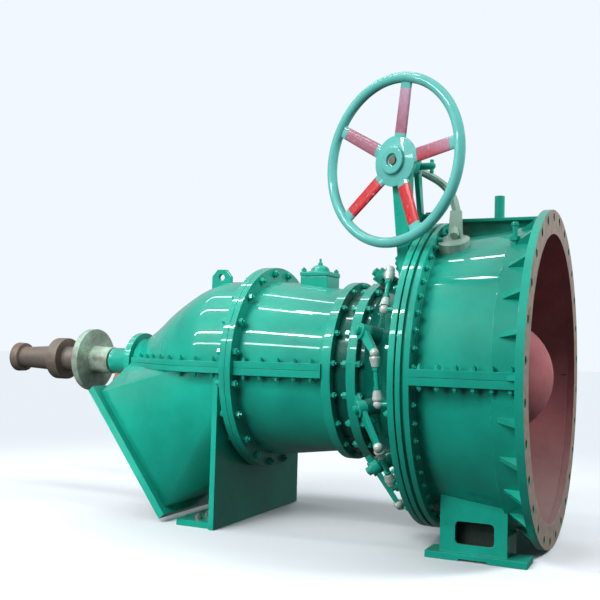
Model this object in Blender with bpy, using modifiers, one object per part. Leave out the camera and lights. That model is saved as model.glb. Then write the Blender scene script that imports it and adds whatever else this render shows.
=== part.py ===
"""A horizontal tubular Kaplan turbine: intake casing with a bulb, conical guide vanes worked by a
handwheel, runner chamber with a four-blade runner, and a draft elbow with a slanted outlet.

Metres, +Z up, floor at Z = 0. The turbine axis runs along X at AXIS_Z, with the intake at +X.
A station is the distance from the intake face towards the shaft end. An angle around the axis is
0 at the near side (-Y) and 90 at the top.
"""

import math

import bmesh
import bpy
from mathutils import Matrix, Vector

NAME = "tubular_kaplan_turbine"

# The whole machine
LENGTH = 2.430
AXIS_Z = 0.595
INLET_X = LENGTH / 2
GAP = 0.0003
ROUND = 48
SMALL_ROUND = 20
PIN_ROUND = 10
FACET_SLACK = 1.07
SEAT_SLACK = 1.105

# Intake casing
INLET_R = 0.5875
BORE_R = 0.503
FLANGE_T = 0.026
INLET_HOLES = 28
INLET_HOLE_R = 0.015
INLET_HOLE_CIRCLE = 0.560
CASING_END = 0.376
CASING_END_BORE = 0.464
RING_R = 0.553
SPLIT_HALF_T = 0.026

# Guide casing: a 45 degree cone with a stem boss for each guide vane
CONE_SUM = 0.907
CONE_WALL_SUM = 0.020
HUB_R = 0.4740
GUIDE_FLANGE_END = 0.404
GUIDE_HUB_END = 0.436
THROAT_R = 0.290
VANES = 10
VANE_START = 19.5
STEM_STATION = 0.530
STEM_R = 0.015
LEVER_HEIGHT = 0.056
LEVER_LENGTH = 0.150
LEVER_TURN = -42.0
BALL_R = 0.016
BLADE_TURN = 25.0

# Operating ring
RING_START = 0.409
RING_END = 0.431
RING_BORE = 0.4757
LINK_BALL_STATION = 0.478
LINK_BALL_R = 0.500
LINK_BALL_BACK = 30.2
LINK_OPEN_GAP = 0.0035

# Throat, runner chamber and elbow
THROAT_START = 0.6573
CHAMBER_START = 0.715
CHAMBER_END = 1.1047
ELBOW_START = 1.105
BODY_R = 0.342
END_FLANGE_R = 0.398
WALL = 0.012
NECK_END = 1.7217
NECK_R = 0.100
OUTLET_TOP = (1.757, -0.113)
OUTLET_LOW = (1.402, -0.583)
OUTLET_HALF_WIDTH = 0.340
OUTLET_LIP = 0.030
OUTLET_T = 0.030

# Shaft and runner
SHAFT_R = 0.045
SHAFT_BORE = 0.0460
HUB_CYLINDER_R = 0.145
BLADE_TIP_R = 0.283
BLADES = 4

# Handwheel, and the crank that it turns in a fork of the operating ring
WHEEL_CENTRE = (0.4946, -0.3619, 0.7281)
WHEEL_ACROSS = Vector((0.932, -0.363, 0.0)).normalized()
WHEEL_R = 0.282
WHEEL_TUBE = 0.018
SPOKES = 5
SPOKE_START = 5.7
CRANK_ANGLE = 72.4
CRANK_PIN_R = 0.582
CRANK_HEAD_R = 0.764
CRANK_STATIONS = (0.436, 0.454)

GREEN = (0.02, 0.30, 0.22)
PRIMER = (0.16, 0.05, 0.05)
STEEL = (0.30, 0.26, 0.22)
RUST = (0.20, 0.10, 0.07)


def fresh_collections():
    for obj in list(bpy.data.objects):
        bpy.data.objects.remove(obj, do_unlink=True)
    parts = bpy.data.collections.new(NAME)
    cutters = bpy.data.collections.new("cutters")
    for collection in (parts, cutters):
        bpy.context.scene.collection.children.link(collection)
    return parts, cutters


PARTS, CUTTERS = fresh_collections()


def at(station, y, z):
    """A point given by its station and its offsets from the turbine axis."""
    return Vector((INLET_X - station, y, AXIS_Z + z))


def around(station, radius, degrees):
    """A point at a station, a radius and an angle around the turbine axis."""
    turn = math.radians(degrees)
    return at(station, -radius * math.cos(turn), radius * math.sin(turn))


def outward(degrees):
    turn = math.radians(degrees)
    return Vector((0.0, -math.cos(turn), math.sin(turn)))


def paint(obj, colour, roughness, metallic=0.0):
    material = bpy.data.materials.new(obj.name + "_paint")
    material.use_nodes = True
    shader = material.node_tree.nodes["Principled BSDF"]
    shader.inputs["Base Color"].default_value = (*colour, 1.0)
    shader.inputs["Roughness"].default_value = roughness
    shader.inputs["Metallic"].default_value = metallic
    obj.data.materials.clear()
    obj.data.materials.append(material)


def piece(name, mesh, cutter=False):
    obj = bpy.data.objects.new(name, mesh)
    (CUTTERS if cutter else PARTS).objects.link(obj)
    if cutter:
        obj.hide_render = True
        obj.display_type = "WIRE"
    return obj


def mesh_from(name, build):
    mesh = bpy.data.meshes.new(name)
    shape = bmesh.new()
    build(shape)
    shape.to_mesh(mesh)
    shape.free()
    return mesh


def hull(name, points, cutter=False):
    """The smallest convex solid around the points."""

    def build(shape):
        for point in points:
            shape.verts.new(point)
        found = bmesh.ops.convex_hull(shape, input=shape.verts)
        inside = [v for v in found["geom_interior"] if isinstance(v, bmesh.types.BMVert)]
        bmesh.ops.delete(shape, geom=inside, context="VERTS")
        bmesh.ops.recalc_face_normals(shape, faces=shape.faces)

    return piece(name, mesh_from(name, build), cutter)


def box(name, low, high, cutter=False):
    size = Vector(high) - Vector(low)

    def build(shape):
        bmesh.ops.create_cube(shape, size=1.0)
        bmesh.ops.scale(shape, vec=size, verts=shape.verts)

    obj = piece(name, mesh_from(name, build), cutter)
    obj.location = (Vector(low) + Vector(high)) / 2
    return obj


def rod(name, start, end, radius, end_radius=None, sides=PIN_ROUND, cutter=False):
    """A cylinder or cone from start to end."""
    run = Vector(end) - Vector(start)

    def build(shape):
        bmesh.ops.create_cone(
            shape, cap_ends=True, segments=sides, depth=run.length,
            radius1=radius, radius2=radius if end_radius is None else end_radius,
        )

    obj = piece(name, mesh_from(name, build), cutter)
    obj.rotation_mode = "QUATERNION"
    obj.rotation_quaternion = run.to_track_quat("Z", "Y")
    obj.location = (Vector(start) + Vector(end)) / 2
    return obj


def ball(name, centre, radius, cutter=False):
    def build(shape):
        bmesh.ops.create_uvsphere(shape, u_segments=PIN_ROUND, v_segments=6, radius=radius)

    obj = piece(name, mesh_from(name, build), cutter)
    obj.location = centre
    return obj


def turned(name, profile, steps=ROUND, cutter=False):
    """A solid of revolution about the turbine axis.

    The profile is a list of (station, radius), listed from the intake end down its outer side.
    It is a closed loop unless its first and last points lie on the axis.
    """
    closed = profile[0][1] > 0 or profile[-1][1] > 0

    def build(shape):
        verts = [shape.verts.new((radius, 0.0, INLET_X - station)) for station, radius in profile]
        for first, second in zip(verts, verts[1:]):
            shape.edges.new((first, second))
        if closed:
            shape.edges.new((verts[-1], verts[0]))

    obj = piece(name, mesh_from(name, build), cutter)
    screw = obj.modifiers.new("turn", "SCREW")
    screw.axis = "Z"
    screw.angle = 2 * math.pi
    screw.steps = screw.render_steps = steps
    screw.use_merge_vertices = True
    screw.merge_threshold = 0.00001
    obj.location = (0.0, 0.0, AXIS_Z)
    obj.rotation_euler = (0.0, math.pi / 2, 0.0)
    return obj


def plate(name, outline, matrix, thickness, cutter=False):
    """A flat outline in the matrix's XY plane, given thickness to both sides of it."""
    curve = bpy.data.curves.new(name, "CURVE")
    curve.dimensions = "2D"
    curve.fill_mode = "BOTH"
    curve.extrude = thickness / 2
    spline = curve.splines.new("POLY")
    spline.points.add(len(outline) - 1)
    for point, (x, y) in zip(spline.points, outline):
        point.co = (x, y, 0.0, 1.0)
    spline.use_cyclic_u = True
    drawn = bpy.data.objects.new(name + "_outline", curve)
    CUTTERS.objects.link(drawn)
    graph = bpy.context.evaluated_depsgraph_get()
    mesh = bpy.data.meshes.new_from_object(drawn.evaluated_get(graph))
    bpy.data.objects.remove(drawn, do_unlink=True)
    shape = bmesh.new()
    shape.from_mesh(mesh)
    bmesh.ops.remove_doubles(shape, verts=shape.verts, dist=0.00001)
    bmesh.ops.recalc_face_normals(shape, faces=shape.faces)
    shape.to_mesh(mesh)
    shape.free()
    obj = piece(name, mesh, cutter)
    obj.matrix_world = matrix
    return obj


def rounded_outline(x0, x1, z0, z1, radius, steps=3):
    """The outline of a rectangle with round corners."""
    middles = ((x1 - radius, z1 - radius), (x0 + radius, z1 - radius),
               (x0 + radius, z0 + radius), (x1 - radius, z0 + radius))
    points = []
    for corner, (x, z) in enumerate(middles):
        for step in range(steps + 1):
            turn = (corner + step / steps) * math.pi / 2
            points.append((x + radius * math.cos(turn), z + radius * math.sin(turn)))
    return points


def flat_at(z):
    """A matrix that lays an outline of (x, y) level at this height."""
    return Matrix.Translation((0.0, 0.0, z))


def upright_at(y):
    """A matrix that stands an outline of (x, z) upright, facing -Y."""
    return Matrix.Translation((0.0, y, 0.0)) @ Matrix.Rotation(math.pi / 2, 4, "X")


def combine(target, operand, operation):
    if operand.name in PARTS.objects:
        PARTS.objects.unlink(operand)
        CUTTERS.objects.link(operand)
    operand.hide_render = True
    operand.display_type = "WIRE"
    step = target.modifiers.new(operand.name, "BOOLEAN")
    step.operation = operation
    step.solver = "EXACT"
    step.object = operand


def add(target, *operands):
    for operand in operands:
        combine(target, operand, "UNION")


def cut(target, *operands):
    for operand in operands:
        combine(target, operand, "DIFFERENCE")


def many(name, builders):
    """Like pieces that don't touch, as one operand."""
    pieces = [make(f"{name}_{number}") for number, make in enumerate(builders)]
    shape = bmesh.new()
    for item in pieces:
        bpy.context.view_layer.update()
        copy = item.data.copy()
        copy.transform(item.matrix_world)
        shape.from_mesh(copy)
        bpy.data.meshes.remove(copy)
        bpy.data.objects.remove(item, do_unlink=True)
    mesh = bpy.data.meshes.new(name)
    shape.to_mesh(mesh)
    shape.free()
    return piece(name, mesh, cutter=True)


def settled(obj):
    """The object's finished mesh, and the object and its operands removed."""
    graph = bpy.context.evaluated_depsgraph_get()
    mesh = bpy.data.meshes.new_from_object(obj.evaluated_get(graph))
    mesh.transform(obj.matrix_world)
    mesh.name = obj.name
    operands = [step.object for step in obj.modifiers if step.type == "BOOLEAN"]
    bpy.data.objects.remove(obj, do_unlink=True)
    for operand in operands:
        bpy.data.objects.remove(operand, do_unlink=True)
    return mesh


def half_space(name, upper):
    """All that lies past the split plane, less the gap between the halves."""
    reach = 2 * LENGTH
    low, high = (-reach, AXIS_Z + GAP / 2) if upper else (AXIS_Z - GAP / 2, reach)
    return box(name, (-reach, -reach, low), (reach, reach, high), cutter=True)


def make_inlet_flange():
    ring = turned("inlet_flange", [(0.0, BORE_R), (0.0, INLET_R), (FLANGE_T, INLET_R), (FLANGE_T, BORE_R)])
    pitch = 360.0 / INLET_HOLES

    def hole(number):
        angle = (number + 0.5) * pitch
        return lambda name: rod(
            name, around(-0.01, INLET_HOLE_CIRCLE, angle), around(FLANGE_T + 0.01, INLET_HOLE_CIRCLE, angle),
            INLET_HOLE_R, sides=8,
        )

    cut(ring, many("inlet_holes", [hole(n) for n in range(INLET_HOLES)]))
    paint(ring, PRIMER, 0.6)


def casing_bore(station):
    """The casing's inner radius, which falls evenly from the intake to the guide vanes."""
    share = (station - FLANGE_T) / (CASING_END - FLANGE_T)
    return BORE_R + share * (CASING_END_BORE - BORE_R)


def make_intake_casing(name, upper):
    start = FLANGE_T + GAP
    body = turned(name, [
        (start, 0.0), (start, 0.532), (0.105, 0.532), (0.110, 0.519), (0.340, 0.495), (0.358, 0.495),
        (0.358, RING_R), (CASING_END, RING_R), (CASING_END, 0.0),
    ])
    split = box(name + "_split", at(0.360, -0.557, -SPLIT_HALF_T), at(0.031, 0.557, SPLIT_HALF_T))
    add(body, split)
    if upper:
        web = box("top_web", at(0.360, -0.007, 0.47), at(0.040, 0.007, 0.558))
        cap = box("top_cap", at(0.362, -0.050, 0.5535), at(0.050, 0.050, 0.5655))
        add(body, web, cap)
    bore = turned(name + "_bore", [
        (-0.05, 0.0), (-0.05, BORE_R), (FLANGE_T, BORE_R), (CASING_END, CASING_END_BORE),
        (CASING_END + 0.05, CASING_END_BORE), (CASING_END + 0.05, 0.0),
    ], cutter=True)
    cut(body, bore, half_space(name + "_side", upper))
    paint(body, GREEN, 0.25)


def make_bulb():
    nose = [(0.007 + 0.2 * (1 - math.cos(t)), 0.205 * math.sin(t)) for t in
            [math.radians(15 * step) for step in range(7)]]
    profile = nose + [(0.385, 0.205), (0.430, 0.196), (0.520, 0.160), (0.600, 0.136), (0.648, 0.130), (0.648, 0.0)]
    bulb = turned("bulb", profile, steps=40)
    band = turned("bulb_band", [(0.030, 0.0), (0.035, 0.092), (0.085, 0.172), (0.140, 0.206), (0.207, 0.215),
                                (0.380, 0.215), (0.380, 0.0)], steps=40)
    slab = box("bulb_slab", at(0.500, -0.4, -0.025), at(-0.1, 0.4, 0.025))
    combine(band, slab, "INTERSECT")
    stays = [30, 90, 150, 210, 270, 330]

    def stay(angle):
        corners = []
        side = Vector((1.0, 0.0, 0.0)).cross(outward(angle)) * 0.009
        for station, radius in ((0.170, 0.15), (0.210, casing_bore(0.210) - 0.0012),
                                (0.350, casing_bore(0.350) - 0.0012), (0.350, 0.15)):
            for sign in (-1, 1):
                corners.append(around(station, radius, angle) + sign * side)
        return lambda name: hull(name, corners)

    add(bulb, band, many("stay_vanes", [stay(angle) for angle in stays]))
    cut(bulb, turned("bulb_bearing", [(0.560, 0.0), (0.560, SHAFT_BORE), (0.70, SHAFT_BORE), (0.70, 0.0)],
                     steps=SMALL_ROUND, cutter=True))
    paint(bulb, PRIMER, 0.6)


def vane_frame(number):
    """Where a guide vane's stem leaves the cone: x along the cone to the ring, z out along the stem."""
    angle = VANE_START + number * 360.0 / VANES
    out = outward(angle)
    stem = (out - Vector((1.0, 0.0, 0.0))).normalized()
    along = (out + Vector((1.0, 0.0, 0.0))).normalized()
    frame = Matrix((along, stem.cross(along), stem)).transposed().to_4x4()
    frame.translation = around(STEM_STATION, CONE_SUM - STEM_STATION, angle)
    return frame


def guide_bore(name):
    """The water passage through the guide flange and the guide casing."""
    cone_in = CONE_SUM - CONE_WALL_SUM
    return turned(name, [
        (0.30, 0.0), (0.30, CASING_END_BORE), (cone_in - CASING_END_BORE, CASING_END_BORE),
        (cone_in - THROAT_R, THROAT_R),
        (0.75, THROAT_R), (0.75, 0.0),
    ], cutter=True)


def make_guide_flange():
    flange = turned("guide_flange", [
        (CASING_END + GAP, 0.0), (CASING_END + GAP, 0.540), (0.387, 0.540), (0.387, RING_R),
        (GUIDE_FLANGE_END, RING_R), (GUIDE_FLANGE_END, 0.492), (RING_START - 0.0005, 0.492),
        (RING_START - 0.0005, HUB_R), (GUIDE_HUB_END, HUB_R), (GUIDE_HUB_END, 0.0),
    ])
    cut(flange, guide_bore("guide_flange_bore"))
    paint(flange, GREEN, 0.25)


def make_guide_casing():
    cone_start = GUIDE_HUB_END + GAP
    cone_end = CONE_SUM - 0.307
    body = turned("guide_casing", [
        (cone_start, 0.0), (cone_start, CONE_SUM - cone_start), (cone_end, 0.307), (0.622, 0.307), (0.622, 0.333),
        (0.657, 0.333), (0.657, 0.0),
    ])

    def boss(number, reach, radius):
        frame = vane_frame(number)
        return lambda name: rod(name, frame @ Vector((0, 0, -0.008)), frame @ Vector((0, 0, reach)), radius)

    def bore(number):
        frame = vane_frame(number)
        return lambda name: rod(name, frame @ Vector((0, 0, -0.06)), frame @ Vector((0, 0, 0.08)), STEM_R * FACET_SLACK)

    add(body, many("stem_bosses", [boss(n, 0.040, 0.030) for n in range(VANES)]))
    cut(body, guide_bore("guide_casing_bore"))
    cut(body, many("stem_bores", [bore(n) for n in range(VANES)]))
    paint(body, GREEN, 0.25)


def make_throat_ring():
    ring = turned("throat_ring", [(THROAT_START, THROAT_R), (THROAT_START, 0.303), (CHAMBER_START - GAP, 0.303),
                                  (CHAMBER_START - GAP, THROAT_R)])
    paint(ring, GREEN, 0.3)


def make_runner_chamber(name, upper):
    body = turned(name, [
        (CHAMBER_START, 0.0), (CHAMBER_START, 0.337), (0.750, 0.337), (0.750, 0.306), (1.055, 0.345),
        (1.081, 0.345), (1.081, END_FLANGE_R), (CHAMBER_END, END_FLANGE_R), (CHAMBER_END, 0.0),
    ])
    corners = [at(station, side * width, level) for station, width in ((0.748, 0.345), (1.083, 0.378))
               for side in (-1, 1) for level in (-SPLIT_HALF_T, SPLIT_HALF_T)]
    add(body, hull(name + "_split", corners))
    if upper:
        seat = box("cover_seat", at(0.966, -0.062, 0.28), at(0.850, 0.062, 0.360))
        add(body, seat)
    bore = turned(name + "_bore", [
        (0.60, 0.0), (0.60, THROAT_R), (0.930, THROAT_R), (CHAMBER_END, 0.329), (1.20, 0.329), (1.20, 0.0),
    ], cutter=True)
    cut(body, bore, half_space(name + "_side", upper))
    paint(body, GREEN, 0.25)


def make_inspection_cover():
    cover = box("inspection_cover", at(0.968, -0.065, 0.360 + GAP), at(0.848, 0.065, 0.378))
    stud = rod("cover_stud", at(0.908, 0.0, 0.37), at(0.908, 0.0, 0.434), 0.007)
    dome = rod("cover_dome", at(0.908, 0.0, 0.37), at(0.908, 0.0, 0.402), 0.050, 0.030, sides=SMALL_ROUND)
    add(cover, dome, stud)
    paint(cover, GREEN, 0.3)


HOOD = [(1.129, 0.357), (1.250, 0.348), (1.330, 0.328), (1.400, 0.298), (1.507, 0.232), (1.601, 0.161),
        (1.690, 0.104), (NECK_END, NECK_R)]


def hood_profile(inset):
    first = BODY_R - inset
    return [(station, min(radius - inset, first)) for station, radius in HOOD]


def make_elbow_upper():
    body = turned("elbow_upper", [
        (ELBOW_START, 0.0), (ELBOW_START, END_FLANGE_R), (1.129, END_FLANGE_R), *hood_profile(0.0), (NECK_END, 0.0),
    ])
    add(body, split_plate("elbow_upper_split", 1))
    inner = turned("elbow_upper_bore", [
        (1.05, 0.0), (1.05, BODY_R - WALL), *hood_profile(WALL)[:-1], (1.700, 0.0),
    ], cutter=True)
    cut(body, inner, shaft_bore("elbow_upper_shaft"), half_space("elbow_upper_side", True))
    paint(body, GREEN, 0.25)


def split_plate(name, side):
    """The bolted joint of the elbow's halves, which follows the hood's outline."""
    reach = 0.042
    edge = [(station, min(radius, BODY_R) + reach) for station, radius in HOOD if station < 1.7]
    edge = [(1.110, BODY_R + reach)] + edge + [(1.715, NECK_R + 0.02)]
    outline = [(INLET_X - station, radius) for station, radius in edge]
    outline += [(x, -y) for x, y in reversed(outline)]
    thickness = 0.022
    return plate(name, outline, flat_at(AXIS_Z + side * thickness / 2), thickness)


def shaft_bore(name):
    return rod(name, at(1.60, 0, 0), at(1.80, 0, 0), SHAFT_BORE, sides=SMALL_ROUND, cutter=True)


def outlet_directions():
    """Along the slanted outlet from its top to its low edge, and out of the outlet."""
    run = at(OUTLET_LOW[0], 0, OUTLET_LOW[1]) - at(OUTLET_TOP[0], 0, OUTLET_TOP[1])
    along = run.normalized()
    return run.length, along, Vector((0.0, 1.0, 0.0)).cross(along)


def elbow_hull(name, grow, top, past=0.0, cutter=False):
    """The elbow's lower body: round at the runner chamber, rectangular at the slanted outlet."""
    length, along, out = outlet_directions()
    corner = at(OUTLET_TOP[0], 0, OUTLET_TOP[1]) - out * (OUTLET_T + GAP) + out * past
    inset = OUTLET_LIP - grow
    points = []
    for share in (inset, length - inset):
        for side in (-1, 1):
            points.append(corner + along * share + Vector((0, side * (OUTLET_HALF_WIDTH - inset), 0)))
    for step in range(ROUND // 2 + 1):
        angle = -2 * math.pi * step / ROUND
        radius = BODY_R + grow
        points.append(at(1.115, -radius * math.cos(angle), radius * math.sin(angle)))
    for station, radius in hood_profile(-grow):
        for side in (-1, 1):
            points.append(at(min(station, 1.700 if grow < 0 else NECK_END), side * radius, 0.0))
    for step in range(1, 6):
        angle = math.radians(-30 * step)
        radius = NECK_R + grow
        station = 1.690 if grow < 0 else NECK_END
        points.append(at(station, -radius * math.cos(angle), radius * math.sin(angle)))
    if top > 0:
        points += [point + Vector((0, 0, top)) for point in points if point.z > AXIS_Z - 0.001]
    return hull(name, points, cutter)


def make_elbow_lower():
    body = elbow_hull("elbow_lower", 0.0, 0.0)
    flange = turned("elbow_lower_flange", [(ELBOW_START, 0.0), (ELBOW_START, END_FLANGE_R), (1.129, END_FLANGE_R),
                                           (1.129, 0.0)])
    add(body, flange, split_plate("elbow_lower_split", -1))
    round_bore = turned("elbow_lower_round_bore", [(1.05, 0.0), (1.05, BODY_R - WALL), (1.1152, BODY_R - WALL),
                                                   (1.1152, 0.0)], cutter=True)
    cut(body, elbow_hull("elbow_lower_bore", -WALL, 0.0005, past=0.002, cutter=True), round_bore,
        shaft_bore("elbow_lower_shaft"), half_space("elbow_lower_side", False))
    paint(body, GREEN, 0.25)


def make_outlet_flange():
    length, along, out = outlet_directions()
    centre = at(OUTLET_TOP[0], 0, OUTLET_TOP[1]) + along * length / 2 - out * OUTLET_T / 2
    frame = Matrix((along, Vector((0, 1, 0)), along.cross(Vector((0, 1, 0))))).transposed().to_4x4()
    frame.translation = centre

    def rectangle(half_run, half_width):
        return [(-half_run, -half_width), (half_run, -half_width), (half_run, half_width), (-half_run, half_width)]

    flange = plate("outlet_flange", rectangle(length / 2, OUTLET_HALF_WIDTH), frame, OUTLET_T)
    inset = OUTLET_LIP + WALL
    cut(flange, plate("outlet_opening", rectangle(length / 2 - inset, OUTLET_HALF_WIDTH - inset), frame,
                      3 * OUTLET_T, cutter=True))
    paint(flange, GREEN, 0.3)


def make_rear_support():
    support = box("rear_support", at(1.172, -0.362, -AXIS_Z), at(1.150, 0.362, -0.022 - GAP))
    cut(support, elbow_hull("rear_support_seat", GAP, 0.1, cutter=True))
    paint(support, GREEN, 0.3)
    foot = box("rear_foot", at(1.320, -0.345, -AXIS_Z), at(1.172 + GAP, 0.345, -AXIS_Z + 0.022))
    paint(foot, GREEN, 0.35)


def make_front_foot(name, side):
    """Half of the welded box that carries the intake casing: a windowed side, ends and a foot strip."""
    base_top = -AXIS_Z + 0.022
    left, right = 0.317, 0.094
    face, wall = 0.310, 0.014

    def bar(part, s0, s1, y0, y1, z0, z1):
        low, high = sorted((side * y0, side * y1))
        return box(f"{name}_{part}", at(s0, low, z0), at(s1, high, z1))

    body = bar("side", left, right, face - wall, face, base_top - 0.01, -0.30)
    body.name = name
    window = rounded_outline(INLET_X - 0.265, INLET_X - 0.1375, AXIS_Z - 0.547, AXIS_Z - 0.473, 0.014)
    cut(body, plate(name + "_window", window, upright_at(side * face), 0.08, cutter=True))
    ends = []
    for part, s0 in (("back_end", left), ("front_end", right + wall)):
        ends.append(bar(part, s0, s0 - wall, 0.160, face - 0.002, -AXIS_Z, -0.30))
    ends.append(bar("inner_side", left, right, 0.242, 0.256, base_top - 0.01, -0.30))
    strip = bar("strip", 0.360, 0.026, 0.228, 0.338, -AXIS_Z, base_top)
    cut(strip, bar("strip_relief", 0.247, 0.154, 0.2, 0.4, -AXIS_Z - 0.01, -AXIS_Z + 0.007))
    add(body, *ends, strip)
    seat = turned(name + "_seat", [(0.0, 0.0), (0.0, 0.5325), (0.105, 0.5325), (0.110, 0.5196), (0.340, 0.4955),
                                   (0.40, 0.4955), (0.40, 0.0)], cutter=True)
    cut(body, seat)
    paint(body, GREEN, 0.3)


def make_fittings():
    pipe = rod("vent_pipe", at(0.203, 0.0, 0.5655 + GAP), at(0.203, 0.0, 0.651), 0.018)
    paint(pipe, GREEN, 0.35)
    lug = plate("lifting_lug", [(-0.045, -0.03), (0.045, -0.055), (0.045, 0.02), (0.02, 0.05), (-0.02, 0.05),
                                (-0.045, 0.02)], upright_at(0.0), 0.018)
    lug.matrix_world = Matrix.Translation(at(1.352, 0.0, 0.345)) @ Matrix.Rotation(math.pi / 2, 4, "X")
    cut(lug, rod("lug_eye", at(1.352, -0.05, 0.362), at(1.352, 0.05, 0.362), 0.014, cutter=True),
        turned("lug_seat", [(1.2, 0.0), (1.2, BODY_R + GAP), (1.250, BODY_R + GAP)] +
               [(station, radius + GAP) for station, radius in HOOD[2:6]] + [(1.601, 0.0)], cutter=True))
    paint(lug, GREEN, 0.35)


def make_gland():
    gland = turned("gland_box", [(NECK_END + GAP, SHAFT_BORE), (NECK_END + GAP, 0.123), (1.751, 0.123),
                                 (1.751, 0.075), (1.765, 0.070), (1.765, SHAFT_BORE)], steps=36)
    cut(gland, box("gland_flat", at(1.80, -0.2, -0.2), at(1.70, 0.2, -0.090), cutter=True))
    paint(gland, GREEN, 0.3)
    sleeve = turned("gland_sleeve", [(1.765 + GAP, SHAFT_BORE), (1.765 + GAP, 0.056), (1.882, 0.056),
                                     (1.882, SHAFT_BORE)], steps=SMALL_ROUND)
    paint(sleeve, GREEN, 0.3)
    spout = rod("drip_spout", at(1.850, -0.01, -0.0565), at(1.860, -0.03, -0.115), 0.018)
    cut(spout, turned("spout_seat", [(1.7, 0.0), (1.7, 0.0563), (1.95, 0.0563), (1.95, 0.0)], steps=SMALL_ROUND,
                      cutter=True))
    paint(spout, RUST, 0.8)


def make_rotor():
    shaft = turned("main_shaft", [
        (0.563, 0.0), (0.563, SHAFT_R), (1.888, SHAFT_R), (1.888, 0.036), (2.030, 0.036), (2.030, 0.054),
        (2.140, 0.054), (2.140, 0.092), (2.196, 0.092), (2.196, 0.056), (2.390, 0.046), (2.390, 0.064),
        (LENGTH, 0.066), (LENGTH, 0.0),
    ], steps=SMALL_ROUND)
    paint(shaft, STEEL, 0.4, 0.8)
    disc = turned("shaft_disc", [(1.8886, 0.0365), (1.8886, 0.058), (1.985, 0.060), (1.985, 0.136), (2.015, 0.136),
                                 (2.015, 0.0365)], steps=36)
    paint(disc, STEEL, 0.45, 0.7)
    hub = turned("runner_hub", [
        (0.655, SHAFT_R + GAP), (0.655, 0.128), (0.700, 0.138), (0.735, HUB_CYLINDER_R), (0.905, HUB_CYLINDER_R),
        (0.980, 0.120), (1.050, 0.080), (1.080, 0.060), (1.080, SHAFT_R + GAP),
    ], steps=40)

    def pocket(number):
        angle = number * 360.0 / BLADES
        return lambda name: rod(name, around(0.820, 0.120 - GAP, angle), around(0.820, 0.2, angle), 0.0455, sides=12)

    cut(hub, many("blade_pockets", [pocket(n) for n in range(BLADES)]))
    paint(hub, STEEL, 0.5, 0.6)
    mesh = blade_mesh()
    for number in range(BLADES):
        blade = piece(f"runner_blade_{number + 1}", mesh.copy())
        blade.location = at(0.820, 0.0, 0.0)
        blade.rotation_euler = (-2 * math.pi * number / BLADES, 0.0, 0.0)
        paint(blade, STEEL, 0.4, 0.7)


def blade_mesh():
    """A twisted blade that reaches towards -Y, from its trunnion in the hub to the tip."""
    columns, rows = 8, 5
    root_r = 0.168

    def build(shape):
        bmesh.ops.create_grid(shape, x_segments=columns, y_segments=rows, size=0.5)
        for vert in shape.verts:
            along, out = vert.co.x, vert.co.y + 0.5
            radius = root_r + out * (BLADE_TIP_R - root_r)
            pitch = math.radians(52 - 27 * out)
            chord = 0.200 + 0.030 * out
            swing = along * chord * math.cos(pitch) / radius
            sweep = along * chord * math.sin(pitch) + 0.018 * (0.25 - along * along)
            vert.co = (sweep, -radius * math.cos(swing), radius * math.sin(swing))

    blade = piece("runner_blade", mesh_from("runner_blade", build))
    wall = blade.modifiers.new("wall", "SOLIDIFY")
    wall.thickness = 0.011
    wall.offset = 0.0
    trunnion = rod("trunnion", (0.0, -0.120, 0.0), (0.0, -0.178, 0.0), 0.045, 0.030, sides=12)
    add(blade, trunnion)
    return settled(blade)


def link_ends():
    """The lever's ball and the ring's ball of the first guide vane."""
    turn = math.radians(LEVER_TURN)
    lever = vane_frame(0) @ Vector((LEVER_LENGTH * math.cos(turn), LEVER_LENGTH * math.sin(turn), LEVER_HEIGHT))
    return lever, around(LINK_BALL_STATION, LINK_BALL_R, VANE_START - LINK_BALL_BACK)


def vane_mesh():
    """Blade, stem and lever of a guide vane, with its origin where the stem leaves the cone."""
    stem = rod("guide_vane", (0, 0, -0.060), (0, 0, 0.086), STEM_R)
    blade_turn = math.radians(BLADE_TURN)
    corners = []
    for depth, half_chord, half_thick in ((-0.030, 0.075, 0.009), (-0.185, 0.045, 0.006)):
        for along, across in ((-half_chord, 0.001), (half_chord, 0.002), (0.3 * half_chord, half_thick),
                              (-0.3 * half_chord, half_thick * 0.7)):
            for sign in (-1, 1):
                x, y = along, sign * across
                corners.append((x * math.cos(blade_turn) - y * math.sin(blade_turn),
                                x * math.sin(blade_turn) + y * math.cos(blade_turn), depth))
    lever_turn = math.radians(LEVER_TURN)
    ahead = Vector((math.cos(lever_turn), math.sin(lever_turn), 0.0))
    side = Vector((-ahead.y, ahead.x, 0.0))
    arm = []
    for reach, half_width in ((0.0, 0.020), (LEVER_LENGTH - 0.006, 0.011)):
        for sign in (-1, 1):
            for height in (-0.007, 0.007):
                arm.append(ahead * reach + side * sign * half_width + Vector((0, 0, LEVER_HEIGHT + height)))
    add(stem, hull("vane_blade", corners), hull("lever_arm", arm),
        rod("lever_hub", (0, 0, 0.0403), (0, 0, 0.072), 0.028),
        ball("lever_ball", ahead * LEVER_LENGTH + Vector((0, 0, LEVER_HEIGHT)), BALL_R))
    return settled(stem)


def link_mesh():
    """A tie rod from the ring's ball, its origin, to just short of the lever's ball, along +Z."""
    lever, ring = link_ends()
    length = (lever - ring).length
    link = rod("guide_link", (0, 0, 0.008), (0, 0, length - 0.008), 0.008)
    add(link, rod("link_end_ring", (0, 0, 0.008), (0, 0, 0.044), 0.013),
        rod("link_end_lever", (0, 0, length - 0.044), (0, 0, length - 0.008), 0.013))
    cut(link, ball("link_seat", (0, 0, 0), BALL_R * SEAT_SLACK, cutter=True),
        ball("link_open", (0, 0, length), BALL_R * SEAT_SLACK + LINK_OPEN_GAP, cutter=True))
    return settled(link)


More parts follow.
